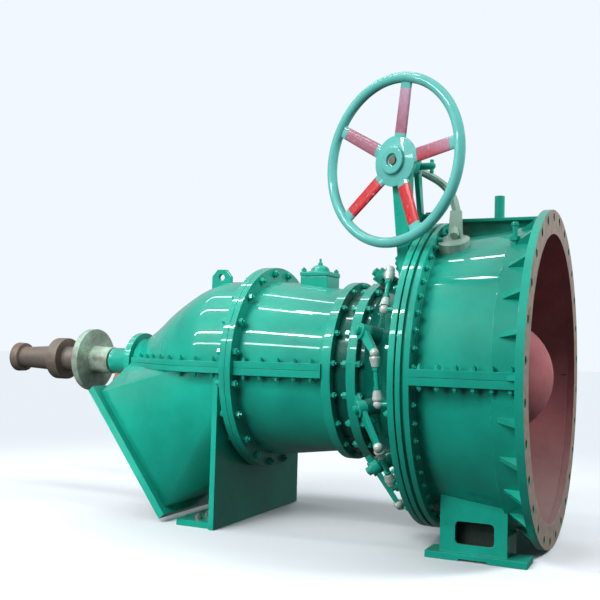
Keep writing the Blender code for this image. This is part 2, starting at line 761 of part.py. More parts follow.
def make_guide_vanes():
    vane, link = vane_mesh(), link_mesh()
    lever_ball, ring_ball = link_ends()
    first_link = (lever_ball - ring_ball).to_track_quat("Z", "Y").to_matrix().to_4x4()
    first_link.translation = ring_ball
    for number in range(VANES):
        blade = piece(f"guide_vane_{number + 1:02d}", vane.copy())
        blade.matrix_world = vane_frame(number)
        paint(blade, GREEN, 0.35)
        turn = Matrix.Translation(at(0, 0, 0)) @ Matrix.Rotation(-2 * math.pi * number / VANES, 4, "X")
        tie = piece(f"guide_link_{number + 1:02d}", link.copy())
        tie.matrix_world = turn @ Matrix.Translation(-at(0, 0, 0)) @ first_link
        paint(tie, GREEN, 0.35)


def make_operating_ring():
    ring = turned("operating_ring", [(RING_START, RING_BORE), (RING_START, 0.552), (RING_END, 0.552),
                                     (RING_END, RING_BORE)])
    angles = [VANE_START - LINK_BALL_BACK + number * 360.0 / VANES for number in range(VANES)]

    def pin(angle):
        return lambda name: rod(name, around(RING_END - 0.006, LINK_BALL_R, angle),
                                around(LINK_BALL_STATION, LINK_BALL_R, angle), 0.009)

    def knob(angle):
        return lambda name: ball(name, around(LINK_BALL_STATION, LINK_BALL_R, angle), BALL_R)

    add(ring, many("ring_pins", [pin(angle) for angle in angles]),
        many("ring_balls", [knob(angle) for angle in angles]))
    across = Vector((1, 0, 0)).cross(outward(CRANK_ANGLE))
    for sign in (-1, 1):
        corners = [around(station, radius, CRANK_ANGLE) + across * sign * offset
                   for station in (RING_START, RING_END) for radius in (0.535, 0.598) for offset in (0.0115, 0.024)]
        add(ring, hull(f"ring_fork_{'near' if sign > 0 else 'far'}", corners))
    paint(ring, GREEN, 0.3)


def make_crank():
    """The crank on the gearbox's output shaft, whose pin swings in the operating ring's fork."""
    near, far = CRANK_STATIONS
    middle = (near + far) / 2
    across = Vector((1, 0, 0)).cross(outward(CRANK_ANGLE))
    corners = [around(station, radius, CRANK_ANGLE) + across * side for station in (near, far)
               for radius, width in ((CRANK_HEAD_R, 0.022), (CRANK_PIN_R, 0.014)) for side in (-width, width)]
    crank = hull("ring_crank", corners)

    def along_axis(name, radius, first, last, thick, cutter=False):
        return rod(name, around(first, radius, CRANK_ANGLE), around(last, radius, CRANK_ANGLE), thick, sides=16,
                   cutter=cutter)

    add(crank, along_axis("crank_head", CRANK_HEAD_R, near - 0.002, far, 0.026),
        along_axis("crank_foot", CRANK_PIN_R, near - 0.001, far + 0.002, 0.017),
        along_axis("crank_pin", CRANK_PIN_R, middle, 0.402, 0.0105))
    cut(crank, along_axis("crank_bore", CRANK_HEAD_R, near - 0.02, far + 0.02, 0.0131, cutter=True))
    paint(crank, GREEN, 0.35)


def wheel_frame():
    """The handwheel's centre: x across the wheel, y up and z to its front."""
    up = Vector((0, 0, 1))
    frame = Matrix((WHEEL_ACROSS, up, WHEEL_ACROSS.cross(up))).transposed().to_4x4()
    frame.translation = at(*WHEEL_CENTRE)
    return frame


def make_handwheel(frame):
    def build(shape):
        loop = [shape.verts.new((WHEEL_R + WHEEL_TUBE * math.cos(t), 0.0, WHEEL_TUBE * math.sin(t)))
                for t in [-math.pi * step / 4 for step in range(8)]]
        for first, second in zip(loop, loop[1:] + loop[:1]):
            shape.edges.new((first, second))

    wheel = piece("handwheel", mesh_from("handwheel", build))
    screw = wheel.modifiers.new("turn", "SCREW")
    screw.angle = 2 * math.pi
    screw.steps = screw.render_steps = 48
    screw.use_merge_vertices = True
    screw.merge_threshold = 0.00001
    wheel.matrix_world = frame

    def hub(name, back, front, radius, cutter=False):
        return rod(name, frame @ Vector((0, 0, back)), frame @ Vector((0, 0, front)), radius, sides=SMALL_ROUND,
                   cutter=cutter)

    spokes = []
    for number in range(SPOKES):
        turn = math.radians(SPOKE_START) + 2 * math.pi * number / SPOKES
        ahead = Vector((math.cos(turn), math.sin(turn), 0))
        side = Vector((-ahead.y, ahead.x, 0))
        spokes.append(hull(f"wheel_spoke_{number}", [
            frame @ (ahead * reach + side * sign * width + Vector((0, 0, dish + height)))
            for reach, width, dish in ((0.060, 0.021, -0.023), (WHEEL_R, 0.017, 0.0))
            for sign in (-1, 1) for height in (-0.007, 0.007)
        ]))
    add(wheel, hub("wheel_hub", -0.034, -0.012, 0.088), hub("wheel_boss", -0.020, 0.004, 0.048), *spokes)
    cut(wheel, hub("wheel_bore", -0.06, 0.06, 0.0143, cutter=True), hub("wheel_recess", -0.005, 0.06, 0.022, True))
    paint(wheel, GREEN, 0.3)
    spindle = rod("wheel_spindle", frame @ Vector((0, 0, 0.001)), frame @ Vector((0, 0, -0.095)), 0.014)
    paint(spindle, STEEL, 0.4, 0.7)


def gearbox_body(name, frame, extra=0.0, cutter=False):
    return rod(name, frame @ Vector((0, 0, -0.042 + extra)), frame @ Vector((0, 0, -0.105 - extra)), 0.045 + extra,
               sides=SMALL_ROUND, cutter=cutter)


def make_gearbox(frame):
    gearbox = gearbox_body("wheel_gearbox", frame)

    def output(name, first, last, radius, sides=PIN_ROUND):
        return rod(name, around(first, CRANK_HEAD_R, CRANK_ANGLE), around(last, CRANK_HEAD_R, CRANK_ANGLE), radius,
                   sides=sides)

    handle = around(0.392, CRANK_HEAD_R, CRANK_ANGLE)
    add(gearbox, output("gearbox_side", 0.560, 0.4595, 0.036, SMALL_ROUND), output("gearbox_shaft", 0.48, 0.386, 0.0125),
        rod("clamp_handle", handle - Vector((0, 0, 0.026)), handle + Vector((0, 0, 0.022)), 0.007))
    cut(gearbox, rod("spindle_bore", frame @ Vector((0, 0, -0.030)), frame @ Vector((0, 0, -0.0955)), 0.0147,
                     sides=SMALL_ROUND, cutter=True))
    paint(gearbox, GREEN, 0.35)


def make_column(frame):
    """The static column from the guide casing up to the gearbox."""
    top = frame @ Vector((0, -0.030, -0.058))
    foot = around(0.4545, 0.430, 44.5)
    front = frame.to_3x3() @ Vector((0, 0, 1))
    across = frame.to_3x3() @ Vector((1, 0, 0))
    corners = [place + across * a * wide + front * b * deep
               for place, wide, deep in ((top, 0.040, 0.012), (foot, 0.017, 0.012)) for a in (-1, 1) for b in (-1, 1)]
    column = hull("wheel_column", corners)
    cut(column, gearbox_body("column_top_seat", frame, GAP, cutter=True), turned("column_seat", [
        (0.30, 0.0), (0.30, HUB_R + GAP), (GUIDE_HUB_END + GAP, HUB_R + GAP),
        (GUIDE_HUB_END + GAP, CONE_SUM - GUIDE_HUB_END + GAP), (0.65, CONE_SUM - 0.65 + 2 * GAP), (0.65, 0.0),
    ], cutter=True))
    paint(column, GREEN, 0.3)


def make_bracket():
    """The bracket that steadies the gearbox from the intake casing, and the pad it stands on."""
    pad_angle = 62.0
    out = outward(pad_angle)
    foot = around(0.306, 0.485, pad_angle)
    pad = rod("bracket_pad", foot, foot + out * 0.040, 0.056, sides=SMALL_ROUND)
    cut(pad, turned("pad_seat", [(0.0, 0.0), (0.0, 0.5325), (0.105, 0.5325), (0.110, 0.5196), (0.340, 0.4955),
                                 (0.3575, 0.4955), (0.3575, 0.57), (0.45, 0.57), (0.45, 0.0)], cutter=True))
    paint(pad, GREEN, 0.35)
    route = [around(0.485, CRANK_HEAD_R, CRANK_ANGLE - 1.0), at(0.470, -0.175, 0.735), at(0.445, -0.130, 0.722),
             at(0.395, -0.125, 0.695), at(0.345, -0.150, 0.650), at(0.315, -0.185, 0.590), at(0.302, -0.205, 0.530),
             around(0.302, 0.540, pad_angle)]
    arm = bracket_tube("wheel_bracket", route, 0.015)
    low = around(0.302, 0.500, pad_angle)
    stand = hull("bracket_stand", [low + Vector((x, y, z)) for z, wide in ((0.0, 0.026), (0.125, 0.019))
                                   for x in (-wide, wide) for y in (-0.007, 0.009)])
    add(arm, stand)
    cut(arm, rod("bracket_top", around(0.575, CRANK_HEAD_R, CRANK_ANGLE), around(0.4590, CRANK_HEAD_R, CRANK_ANGLE),
                 0.0363, sides=SMALL_ROUND, cutter=True),
        rod("bracket_foot", foot - out * 0.05, foot + out * (0.040 + GAP), 0.15, sides=SMALL_ROUND, cutter=True))
    paint(arm, STEEL, 0.5, 0.3)


def bracket_tube(name, route, radius):
    curve = bpy.data.curves.new(name, "CURVE")
    curve.dimensions = "3D"
    curve.bevel_depth = radius
    curve.bevel_resolution = 2
    curve.use_fill_caps = True
    curve.resolution_u = 3
    spline = curve.splines.new("NURBS")
    spline.points.add(len(route) - 1)
    for point, place in zip(spline.points, route):
        point.co = (*place, 1.0)
    spline.order_u = 4
    spline.use_endpoint_u = True
    drawn = bpy.data.objects.new(name + "_route", curve)
    CUTTERS.objects.link(drawn)
    graph = bpy.context.evaluated_depsgraph_get()
    mesh = bpy.data.meshes.new_from_object(drawn.evaluated_get(graph))
    bpy.data.objects.remove(drawn, do_unlink=True)
    shape = bmesh.new()
    shape.from_mesh(mesh)
    bmesh.ops.remove_doubles(shape, verts=shape.verts, dist=0.00001)
    bmesh.ops.recalc_face_normals(shape, faces=shape.faces)
    shape.to_mesh(mesh)
    shape.free()
    return piece(name, mesh)


def main():
    make_inlet_flange()
    make_intake_casing("intake_casing_upper", True)
    make_intake_casing("intake_casing_lower", False)
    make_bulb()
    make_guide_flange()
    make_guide_casing()
    make_throat_ring()
    make_runner_chamber("runner_chamber_upper", True)
    make_runner_chamber("runner_chamber_lower", False)
    make_inspection_cover()
    make_elbow_upper()
    make_elbow_lower()
    make_outlet_flange()
    make_rear_support()
    make_front_foot("front_foot_near", -1)
    make_front_foot("front_foot_far", 1)
    make_fittings()
    make_gland()
    make_rotor()
    make_guide_vanes()
    make_operating_ring()
    make_crank()
    frame = wheel_frame()
    make_handwheel(frame)
    make_gearbox(frame)
    make_column(frame)
    make_bracket()


main()
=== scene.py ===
"""The looks of a horizontal tubular Kaplan turbine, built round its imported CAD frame.

A station is the distance from the intake face towards the shaft end, in metres. An angle around the
turbine axis is 0 at the near side (-Y) and 90 at the top.
"""

import math

import bmesh
import bpy
from mathutils import Matrix, Vector
from mathutils.bvhtree import BVHTree


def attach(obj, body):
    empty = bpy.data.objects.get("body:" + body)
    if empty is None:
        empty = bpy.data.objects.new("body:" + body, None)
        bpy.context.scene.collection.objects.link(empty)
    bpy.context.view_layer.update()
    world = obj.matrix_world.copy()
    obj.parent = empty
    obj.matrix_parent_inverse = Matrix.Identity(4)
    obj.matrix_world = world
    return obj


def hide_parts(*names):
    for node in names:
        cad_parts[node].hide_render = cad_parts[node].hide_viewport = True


bl_info = {
    "name": "Tubular Kaplan turbine",
    "version": (1, 0, 0),
    "blender": (4, 5, 0),
    "location": "View3D > Sidebar > Turbine",
    "description": "Casings, guide gear, handwheel and shaft of a tubular Kaplan turbine, with their finishes",
    "category": "Add Mesh",
}

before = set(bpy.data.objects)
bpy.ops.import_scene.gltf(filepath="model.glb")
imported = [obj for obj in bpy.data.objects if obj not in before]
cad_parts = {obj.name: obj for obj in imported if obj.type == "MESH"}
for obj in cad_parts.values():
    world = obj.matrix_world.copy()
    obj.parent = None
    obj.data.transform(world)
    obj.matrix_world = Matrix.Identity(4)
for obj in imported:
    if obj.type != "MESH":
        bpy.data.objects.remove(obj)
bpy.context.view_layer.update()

LENGTH = 2.430
AXIS_Z = 0.595
INLET_X = LENGTH / 2
VANES = 10
VANE_START = 19.5
STEM_STATION = 0.530
CONE_SUM = 0.907
LEVER_LENGTH = 0.150
LEVER_HEIGHT = 0.056
LEVER_TURN = -42.0
LINK_STATION = 0.478
LINK_R = 0.500
LINK_BACK = 30.2
CRANK_ANGLE = 72.4
CRANK_HEAD_R = 0.764
CRANK_PIN_R = 0.582
WHEEL_CENTRE = (0.4946, -0.3619, 0.7281)
WHEEL_ACROSS = Vector((0.932, -0.363, 0.0)).normalized()
HOOD = [(1.129, 0.357), (1.250, 0.348), (1.330, 0.328), (1.400, 0.298), (1.507, 0.232), (1.601, 0.161),
        (1.690, 0.104), (1.7217, 0.100)]
BODY_R = 0.342
WALL = 0.012
OUTLET_TOP = (1.757, -0.113)
OUTLET_LOW = (1.402, -0.583)
OUTLET_HALF_WIDTH = 0.340
OUTLET_LIP = 0.030
OUTLET_T = 0.030

AXIS = Matrix(((0, 0, -1, INLET_X), (-1, 0, 0, 0), (0, 1, 0, AXIS_Z), (0, 0, 0, 1)))
ON_AXIS = Matrix.Translation((0, 0, AXIS_Z))
AS_IS = Matrix.Identity(4)
FINE = 160
EDGE = 0.0025
SMOOTH_BELOW = 32.0
SHARP_ABOVE = 25.0
GAP = 0.0003
JOINT_T = 0.026
BLADES = 4
SPOKES = 5
WHEEL_R = 0.282
LAMP_AWAY = 4.0
TUBE_WIDTH = 0.15
INTAKE_FRONT = (0.026, 0.503)
INTAKE_BACK = (0.376, 0.464)


class TurbineSizes(bpy.types.PropertyGroup):
    gussets: bpy.props.IntProperty(
        name="Gussets", description="Triangular gussets behind the intake flange", default=26, min=6, max=60)
    flange_holes: bpy.props.IntProperty(
        name="Flange holes", description="Bolt holes in the intake flange", default=28, min=8, max=60)
    large_bolt: bpy.props.FloatProperty(
        name="Large bolts", description="Width across flats of the casing bolts", default=0.024, min=0.01,
        max=0.05, unit="LENGTH")
    small_bolt: bpy.props.FloatProperty(
        name="Small bolts", description="Width across flats of the small bolts", default=0.017, min=0.006,
        max=0.04, unit="LENGTH")
    weld: bpy.props.FloatProperty(
        name="Weld bead", description="Radius of the weld beads", default=0.0035, min=0.001, max=0.01,
        unit="LENGTH")
    wheel_rim: bpy.props.FloatProperty(
        name="Rim thickness", description="Radius of the handwheel's rim tube", default=0.018, min=0.01,
        max=0.03, unit="LENGTH")


def colour_property(label, words, default):
    return bpy.props.FloatVectorProperty(name=label, description=words, subtype="COLOR", size=3, default=default,
                                         min=0.0, max=1.0)


class TurbineColours(bpy.types.PropertyGroup):
    enamel: colour_property("Enamel", "Glossy paint of the casings", (0.006, 0.290, 0.212))
    wheel: colour_property("Wheel", "Paler paint of the handwheel", (0.095, 0.400, 0.365))
    spoke: colour_property("Spokes", "Red bands on the handwheel's spokes", (0.430, 0.014, 0.020))
    primer: colour_property("Primer", "Matt primer of the water passage", (0.268, 0.094, 0.100))
    machined: colour_property("Machined face", "Bare face of the intake flange", (0.330, 0.270, 0.225))
    steel: colour_property("Steel", "Turned steel of the shaft", (0.225, 0.195, 0.165))
    rust: colour_property("Rust", "Rust on steel and iron", (0.150, 0.060, 0.035))


def sizes():
    return bpy.context.scene.turbine_sizes


def colours():
    return bpy.context.scene.turbine_colours


# Places

def at(station, y, z):
    """A point given by its station and its offsets from the turbine axis."""
    return Vector((INLET_X - station, y, AXIS_Z + z))


def around(station, radius, degrees):
    """A point at a station, a radius and an angle around the turbine axis."""
    turn = math.radians(degrees)
    return at(station, -radius * math.cos(turn), radius * math.sin(turn))


def outward(degrees):
    """The way out from the turbine axis at an angle."""
    turn = math.radians(degrees)
    return Vector((0.0, -math.cos(turn), math.sin(turn)))


def along(start, end):
    """A matrix whose Z runs from start to end."""
    place = (Vector(end) - Vector(start)).to_track_quat("Z", "Y").to_matrix().to_4x4()
    place.translation = start
    return place


def frame_of(x_way, y_way, z_way, centre):
    place = Matrix((x_way, y_way, z_way)).transposed().to_4x4()
    place.translation = centre
    return place


def vane_frame(number):
    """Where a guide vane's stem leaves the cone: x along the cone to the ring, z out along the stem."""
    angle = VANE_START + number * 360.0 / VANES
    out = outward(angle)
    stem = (out - Vector((1.0, 0.0, 0.0))).normalized()
    ahead = (out + Vector((1.0, 0.0, 0.0))).normalized()
    return frame_of(ahead, stem.cross(ahead), stem, around(STEM_STATION, CONE_SUM - STEM_STATION, angle))


def wheel_frame():
    """The handwheel's centre: x across the wheel, y up and z to its front."""
    up = Vector((0, 0, 1))
    return frame_of(WHEEL_ACROSS, up, WHEEL_ACROSS.cross(up), at(*WHEEL_CENTRE))


def outlet_directions():
    """The slanted outlet's length, its way down along the opening, and its way out."""
    run = at(OUTLET_LOW[0], 0, OUTLET_LOW[1]) - at(OUTLET_TOP[0], 0, OUTLET_TOP[1])
    ahead = run.normalized()
    return run.length, ahead, Vector((0.0, 1.0, 0.0)).cross(ahead)


# Shapes

def eased(outline, edge, closed):
    """The outline with its sharp corners turned into short arcs."""
    result = []
    for number, corner in enumerate(outline):
        here = Vector(corner)
        back = Vector(outline[number - 1]) - here
        ahead = Vector(outline[(number + 1) % len(outline)]) - here
        inner = closed or 0 < number < len(outline) - 1
        if not inner or edge <= 0 or math.pi - back.angle(ahead) < math.radians(20):
            result.append(tuple(here))
            continue
        reach = min(edge, 0.45 * back.length, 0.45 * ahead.length)
        start, end = here + back.normalized() * reach, here + ahead.normalized() * reach
        for share in (0.0, 0.33, 0.67, 1.0):
            result.append(tuple(start * (1 - share) ** 2 + here * 2 * share * (1 - share) + end * share ** 2))
    return result


def turned(shape, profile, place=AXIS, arc=(0.0, 360.0), steps=FINE, edge=EDGE, tone=0):
    """Adds a solid of revolution. The profile lists (height, radius), heights along the place's Z."""
    closed = profile[0][1] > 0 or profile[-1][1] > 0
    line = eased(profile, edge, closed)
    whole = arc[1] - arc[0] >= 360.0
    count = steps if whole else max(2, round(steps * (arc[1] - arc[0]) / 360.0)) + 1
    rings = []
    for step in range(count):
        turn = math.radians(arc[0] + (arc[1] - arc[0]) * step / (count if whole else count - 1))
        rings.append([shape.verts.new(place @ Vector((r * math.cos(turn), r * math.sin(turn), h))) for h, r in line])
    faces = []
    for one, other in zip(rings, rings[1:] + (rings[:1] if whole else [])):
        for a in range(len(line) if closed else len(line) - 1):
            b = (a + 1) % len(line)
            faces.append(shape.faces.new((one[a], one[b], other[b], other[a])))
    if closed and not whole:
        faces += [shape.faces.new(rings[0]), shape.faces.new(rings[-1])]
    for face in faces:
        face.material_index = tone
    verts = [vert for ring in rings for vert in ring]
    bmesh.ops.remove_doubles(shape, verts=verts, dist=0.000001)
    bmesh.ops.recalc_face_normals(shape, faces=[face for face in faces if face.is_valid])


def soften(part, edge):
    """Rounds the sharp edges of a small shape."""
    if edge <= 0:
        return
    sharp = [item for item in part.edges if len(item.link_faces) == 2
             and item.calc_face_angle(0.0) > math.radians(SHARP_ABOVE)]
    bmesh.ops.bevel(part, geom=sharp, offset=edge, segments=2, profile=0.5, affect="EDGES", clamp_overlap=True)


def join(shape, part, place=None, tone=None):
    """Moves a part shape into a shape."""
    bmesh.ops.recalc_face_normals(part, faces=part.faces)
    if place is not None:
        bmesh.ops.transform(part, matrix=place, verts=part.verts)
    if tone is not None:
        for face in part.faces:
            face.material_index = tone
    carrier = bpy.data.meshes.new("carrier")
    part.to_mesh(carrier)
    part.free()
    shape.from_mesh(carrier)
    bpy.data.meshes.remove(carrier)


def block(shape, low, high, place=None, edge=EDGE, tone=0):
    """A box between two corners, its edges eased."""
    part = bmesh.new()
    bmesh.ops.create_cube(part, size=1.0)
    low, high = Vector(map(min, low, high)), Vector(map(max, low, high))
    for vert in part.verts:
        vert.co = Vector(a + (c + 0.5) * (b - a) for a, b, c in zip(low, high, vert.co))
    soften(part, edge)
    join(shape, part, place, tone)


def slab(shape, outline, place, low, high, edge=EDGE, tone=0):
    """A flat outline in the place's XY plane, filled from the low to the high height."""
    part = bmesh.new()
    floor = part.faces.new([part.verts.new((x, y, low)) for x, y in outline])
    lifted = bmesh.ops.extrude_face_region(part, geom=[floor], use_keep_orig=True)["geom"]
    bmesh.ops.translate(part, vec=(0, 0, high - low),
                        verts=[item for item in lifted if isinstance(item, bmesh.types.BMVert)])
    bmesh.ops.recalc_face_normals(part, faces=part.faces)
    soften(part, edge)
    join(shape, part, place, tone)


def hull(shape, points, edge=EDGE, tone=0):
    part = hull_shape(points)
    soften(part, edge)
    join(shape, part, tone=tone)


def hull_shape(points):
    """The convex hull of some points, as a shape of its own."""
    part = bmesh.new()
    for point in points:
        part.verts.new(point)
    found = bmesh.ops.convex_hull(part, input=part.verts)
    inside = [item for item in found["geom_interior"] if isinstance(item, bmesh.types.BMVert)]
    bmesh.ops.delete(part, geom=inside, context="VERTS")
    bmesh.ops.dissolve_limit(part, angle_limit=0.002, verts=part.verts, edges=part.edges)
    bmesh.ops.recalc_face_normals(part, faces=part.faces)
    return part


def rod(shape, start, end, radius, end_radius=None, steps=32, edge=0.0015):
    length = (Vector(end) - Vector(start)).length
    last = radius if end_radius is None else end_radius
    turned(shape, [(0, 0), (0, radius), (length, last), (length, 0)], along(start, end), steps=steps, edge=edge)


def ball(shape, centre, radius, tone=0):
    half = [(-radius * math.cos(math.pi * n / 12), radius * math.sin(math.pi * n / 12)) for n in range(13)]
    half[0], half[-1] = (-radius, 0.0), (radius, 0.0)
    turned(shape, half, Matrix.Translation(centre), steps=24, edge=0, tone=tone)


def nut(shape, place, across, height, stud=0.0):
    """A hexagon nut on a washer, its stud's end standing out of it."""
    turned(shape, [(0, 0), (0, 0.62 * across), (0.12 * across, 0.62 * across), (0.12 * across, 0)], place,
           steps=20, edge=0.0006)
    turned(shape, [(0.1 * across, 0), (0.1 * across, 0.577 * across), (height * 0.85, 0.577 * across),
                   (height, 0.49 * across), (height, 0)], place, steps=6, edge=0)
    if stud > 0:
        turned(shape, [(0, 0), (0, 0.3 * across), (height + stud, 0.3 * across), (height + stud, 0)], place,
               steps=12, edge=0.0008)


def plain_mesh(name, shape):
    """The shape as a mesh. The shape is freed."""
    mesh = bpy.data.meshes.new(name)
    shape.to_mesh(mesh)
    shape.free()
    return mesh


def linked(name, data):
    """A new object in the scene's own collection."""
    obj = bpy.data.objects.new(name, data)
    bpy.context.scene.collection.objects.link(obj)
    return obj


def evaluated(obj):
    """The mesh that an object's modifiers make."""
    return bpy.data.meshes.new_from_object(obj.evaluated_get(bpy.context.evaluated_depsgraph_get()))


def weigh_normals(obj):
    """Lets large faces keep their own normals beside small bevels, so that reflections run straight."""
    modifier = obj.modifiers.new("weighted", "WEIGHTED_NORMAL")
    modifier.mode = "FACE_AREA"
    modifier.keep_sharp = True
    plain = obj.data
    name = plain.name
    weighted = evaluated(obj)
    obj.modifiers.remove(modifier)
    obj.data = weighted
    bpy.data.meshes.remove(plain)
    weighted.name = name


def piece(name, shape, finishes, body="housing", replaces=(), sharp=SMOOTH_BELOW):
    """Makes a finished object of a shape, hangs it on its body's empty, and hides the CAD parts that it replaces."""
    mesh = plain_mesh(name, shape)
    for paint in finishes:
        mesh.materials.append(finish(paint))
    mesh.shade_smooth()
    mesh.set_sharp_from_angle(angle=math.radians(sharp))
    obj = linked(name, mesh)
    weigh_normals(obj)
    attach(obj, body)
    if replaces:
        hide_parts(*replaces)
    return obj


def line_passage(shape, reach):
    """Gives the faces that look at the turbine axis from within reach of it the passage's finish."""
    shape.normal_update()
    for face in shape.faces:
        centre = face.calc_center_median()
        from_axis = Vector((0.0, centre.y, centre.z - AXIS_Z))
        if from_axis.length < reach(INLET_X - centre.x) and face.normal.dot(from_axis.normalized()) < -0.3:
            face.material_index = 1


# Finishes

def put(tree, owner, key, value):
    """Links a socket into a node's input, or sets the input to a plain value."""
    if isinstance(value, bpy.types.NodeSocket):
        tree.links.new(value, owner.inputs[key])
    else:
        owner.inputs[key].default_value = value


def node(tree, kind, inputs=None, **settings):
    """A new node with its settings, and its inputs linked or set."""
    made = tree.nodes.new(kind)
    for key, value in settings.items():
        setattr(made, key, value)
    for key, value in (inputs or {}).items():
        put(tree, made, key, value)
    return made


def new_finish(name):
    """A new material's tree, its shader and its Object coordinates."""
    material = bpy.data.materials.new(name)
    material.use_nodes = True
    tree = material.node_tree
    return tree, tree.nodes["Principled BSDF"], node(tree, "ShaderNodeTexCoord").outputs["Object"]


def noise(tree, place, scale, detail=3.0, roughness=0.5, stretch=None):
    if stretch:
        place = node(tree, "ShaderNodeMapping", {"Vector": place, "Scale": stretch}).outputs[0]
    return node(tree, "ShaderNodeTexNoise", {"Vector": place, "Scale": scale, "Detail": detail,
                                             "Roughness": roughness}).outputs["Fac"]


def spread(tree, value, low, high, to_low=0.0, to_high=1.0):
    return node(tree, "ShaderNodeMapRange", {"Value": value, "From Min": low, "From Max": high,
                                             "To Min": to_low, "To Max": to_high}).outputs[0]


def blended(tree, share, first, second, way="MIX"):
    """Two colours mixed by a share. A colour may be a socket or three numbers."""
    mix = node(tree, "ShaderNodeMix", data_type="RGBA", blend_type=way)
    names = [item for item in mix.inputs if item.type == "RGBA"]
    for socket, value in ((mix.inputs[0], share), (names[0], first), (names[1], second)):
        if isinstance(value, bpy.types.NodeSocket):
            tree.links.new(value, socket)
        elif isinstance(value, (int, float)):
            socket.default_value = value
        else:
            socket.default_value = (*value, 1.0)
    return [item for item in mix.outputs if item.type == "RGBA"][0]


def scaled(colour, amount):
    """A colour made lighter or darker."""
    return tuple(min(1.0, part * amount) for part in colour)


def bumped(tree, shader, heights):
    """Chains bumps, each (height, strength, distance), into the shader's normal."""
    normal = None
    for height, strength, distance in heights:
        bump = node(tree, "ShaderNodeBump", {"Height": height, "Strength": strength, "Distance": distance})
        if normal is not None:
            tree.links.new(normal, bump.inputs["Normal"])
        normal = bump.outputs[0]
    put(tree, shader, "Normal", normal)


def enamel(name, colour, roughness=0.32):
    """Thick brushed gloss paint: slow changes of tone, chalky dust that settles, and a wavy surface."""
    tree, shader, place = new_finish(name)
    colour = tuple(colour)
    broad = noise(tree, place, 4.0, 4.0, 0.6)
    base = blended(tree, spread(tree, broad, 0.35, 0.70), scaled(colour, 0.82), scaled(colour, 1.16))
    speck = noise(tree, place, 160.0, 2.0, 0.6)
    base = blended(tree, spread(tree, speck, 0.66, 0.80, 0.0, 0.35), base, scaled(colour, 0.45))
    faces = node(tree, "ShaderNodeSeparateXYZ", {"Vector": node(tree, "ShaderNodeTexCoord").outputs["Normal"]})
    patches = noise(tree, place, 9.0, 5.0, 0.65)
    dust = product(tree, spread(tree, faces.outputs["Z"], 0.5, 1.0, 0.0, 0.05),
                   spread(tree, patches, 0.35, 0.70, 0.2, 1.0))
    base = blended(tree, dust, base, (0.62, 0.70, 0.66))
    put(tree, shader, "Base Color", base)
    put(tree, shader, "Roughness", spread(tree, patches, 0.3, 0.7, roughness * 0.75, roughness * 1.6))
    put(tree, shader, "Specular IOR Level", 0.25)
    put(tree, shader, "Coat Weight", 0.9)
    put(tree, shader, "Coat Roughness", 0.03)
    peel = noise(tree, place, 240.0, 1.0, 0.4)
    plate = noise(tree, place, 11.0, 2.0, 0.4, (0.35, 1.0, 1.0))
    bumped(tree, shader, [(plate, 0.22, 0.006), (peel, 0.05, 0.0008)])


def primer(name, colour):
    """Matt red-brown primer with paler chalky clouds, drips, and a paler grey towards the bottom of the passage."""
    tree, shader, place = new_finish(name)
    colour = tuple(colour)
    clouds = noise(tree, place, 5.5, 6.0, 0.65)
    base = blended(tree, spread(tree, clouds, 0.32, 0.72), scaled(colour, 0.72), scaled(colour, 1.35))
    streaks = noise(tree, place, 6.0, 4.0, 0.6, (5.0, 1.0, 1.0))
    base = blended(tree, spread(tree, streaks, 0.56, 0.74, 0.0, 0.45), base, (0.30, 0.15, 0.13))
    height = node(tree, "ShaderNodeSeparateXYZ", {"Vector": place}).outputs["Z"]
    paler_low = product(tree, spread(tree, height, 0.10, 0.42, 0.85, 0.0),
                   spread(tree, clouds, 0.25, 0.60, 0.45, 1.0))
    base = blended(tree, paler_low, base, (0.205, 0.165, 0.155))
    grain = noise(tree, place, 300.0, 2.0, 0.6)
    base = blended(tree, spread(tree, grain, 0.6, 0.8, 0.0, 0.3), base, scaled(colour, 0.5))
    put(tree, shader, "Base Color", base)
    put(tree, shader, "Roughness", spread(tree, clouds, 0.3, 0.7, 0.55, 0.78))
    bumped(tree, shader, [(streaks, 0.15, 0.004), (grain, 0.12, 0.0008)])


def bare_metal(name, colour, rust, rust_share=0.5, roughness=0.38, metallic=0.85, turned_marks=True):
    """Turned steel gone dull: tool marks round the axis, brown film and spots of rust."""
    tree, shader, place = new_finish(name)
    colour, rust = tuple(colour), tuple(rust)
    marks = noise(tree, place, 40.0, 3.0, 0.6, (14.0, 0.4, 0.4) if turned_marks else (1.0, 1.0, 1.0))
    base = blended(tree, spread(tree, marks, 0.3, 0.7), scaled(colour, 0.78), scaled(colour, 1.18))
    film = noise(tree, place, 13.0, 6.0, 0.68)
    rusty = spread(tree, film, 0.62 - 0.18 * rust_share, 0.80 - 0.14 * rust_share, 0.0, 0.85)
    base = blended(tree, rusty, base, rust)
    put(tree, shader, "Base Color", base)
    put(tree, shader, "Metallic", spread(tree, rusty, 0.0, 1.0, metallic, 0.15))
    put(tree, shader, "Roughness", spread(tree, film, 0.3, 0.75, roughness * 0.8, 0.78))
    pits = noise(tree, place, 120.0, 4.0, 0.7)
    bumped(tree, shader, [(marks, 0.10, 0.0008), (pits, 0.22, 0.0012)])


def sprayed(name, steel, paint):
    """A steel face dusted with stray paint: pale grey-green, thinner towards brown patches."""
    tree, shader, place = new_finish(name)
    film = noise(tree, place, 14.0, 5.0, 0.65)
    base = blended(tree, spread(tree, film, 0.38, 0.66), (0.40, 0.52, 0.43), scaled(steel, 1.1))
    mist = noise(tree, place, 190.0, 2.0, 0.6)
    base = blended(tree, spread(tree, mist, 0.50, 0.68, 0.0, 0.7), base, scaled(paint, 1.1))
    put(tree, shader, "Base Color", base)
    put(tree, shader, "Metallic", spread(tree, film, 0.4, 0.7, 0.15, 0.55))
    put(tree, shader, "Roughness", spread(tree, mist, 0.3, 0.7, 0.36, 0.62))
    bumped(tree, shader, [(film, 0.15, 0.002), (mist, 0.15, 0.0008)])


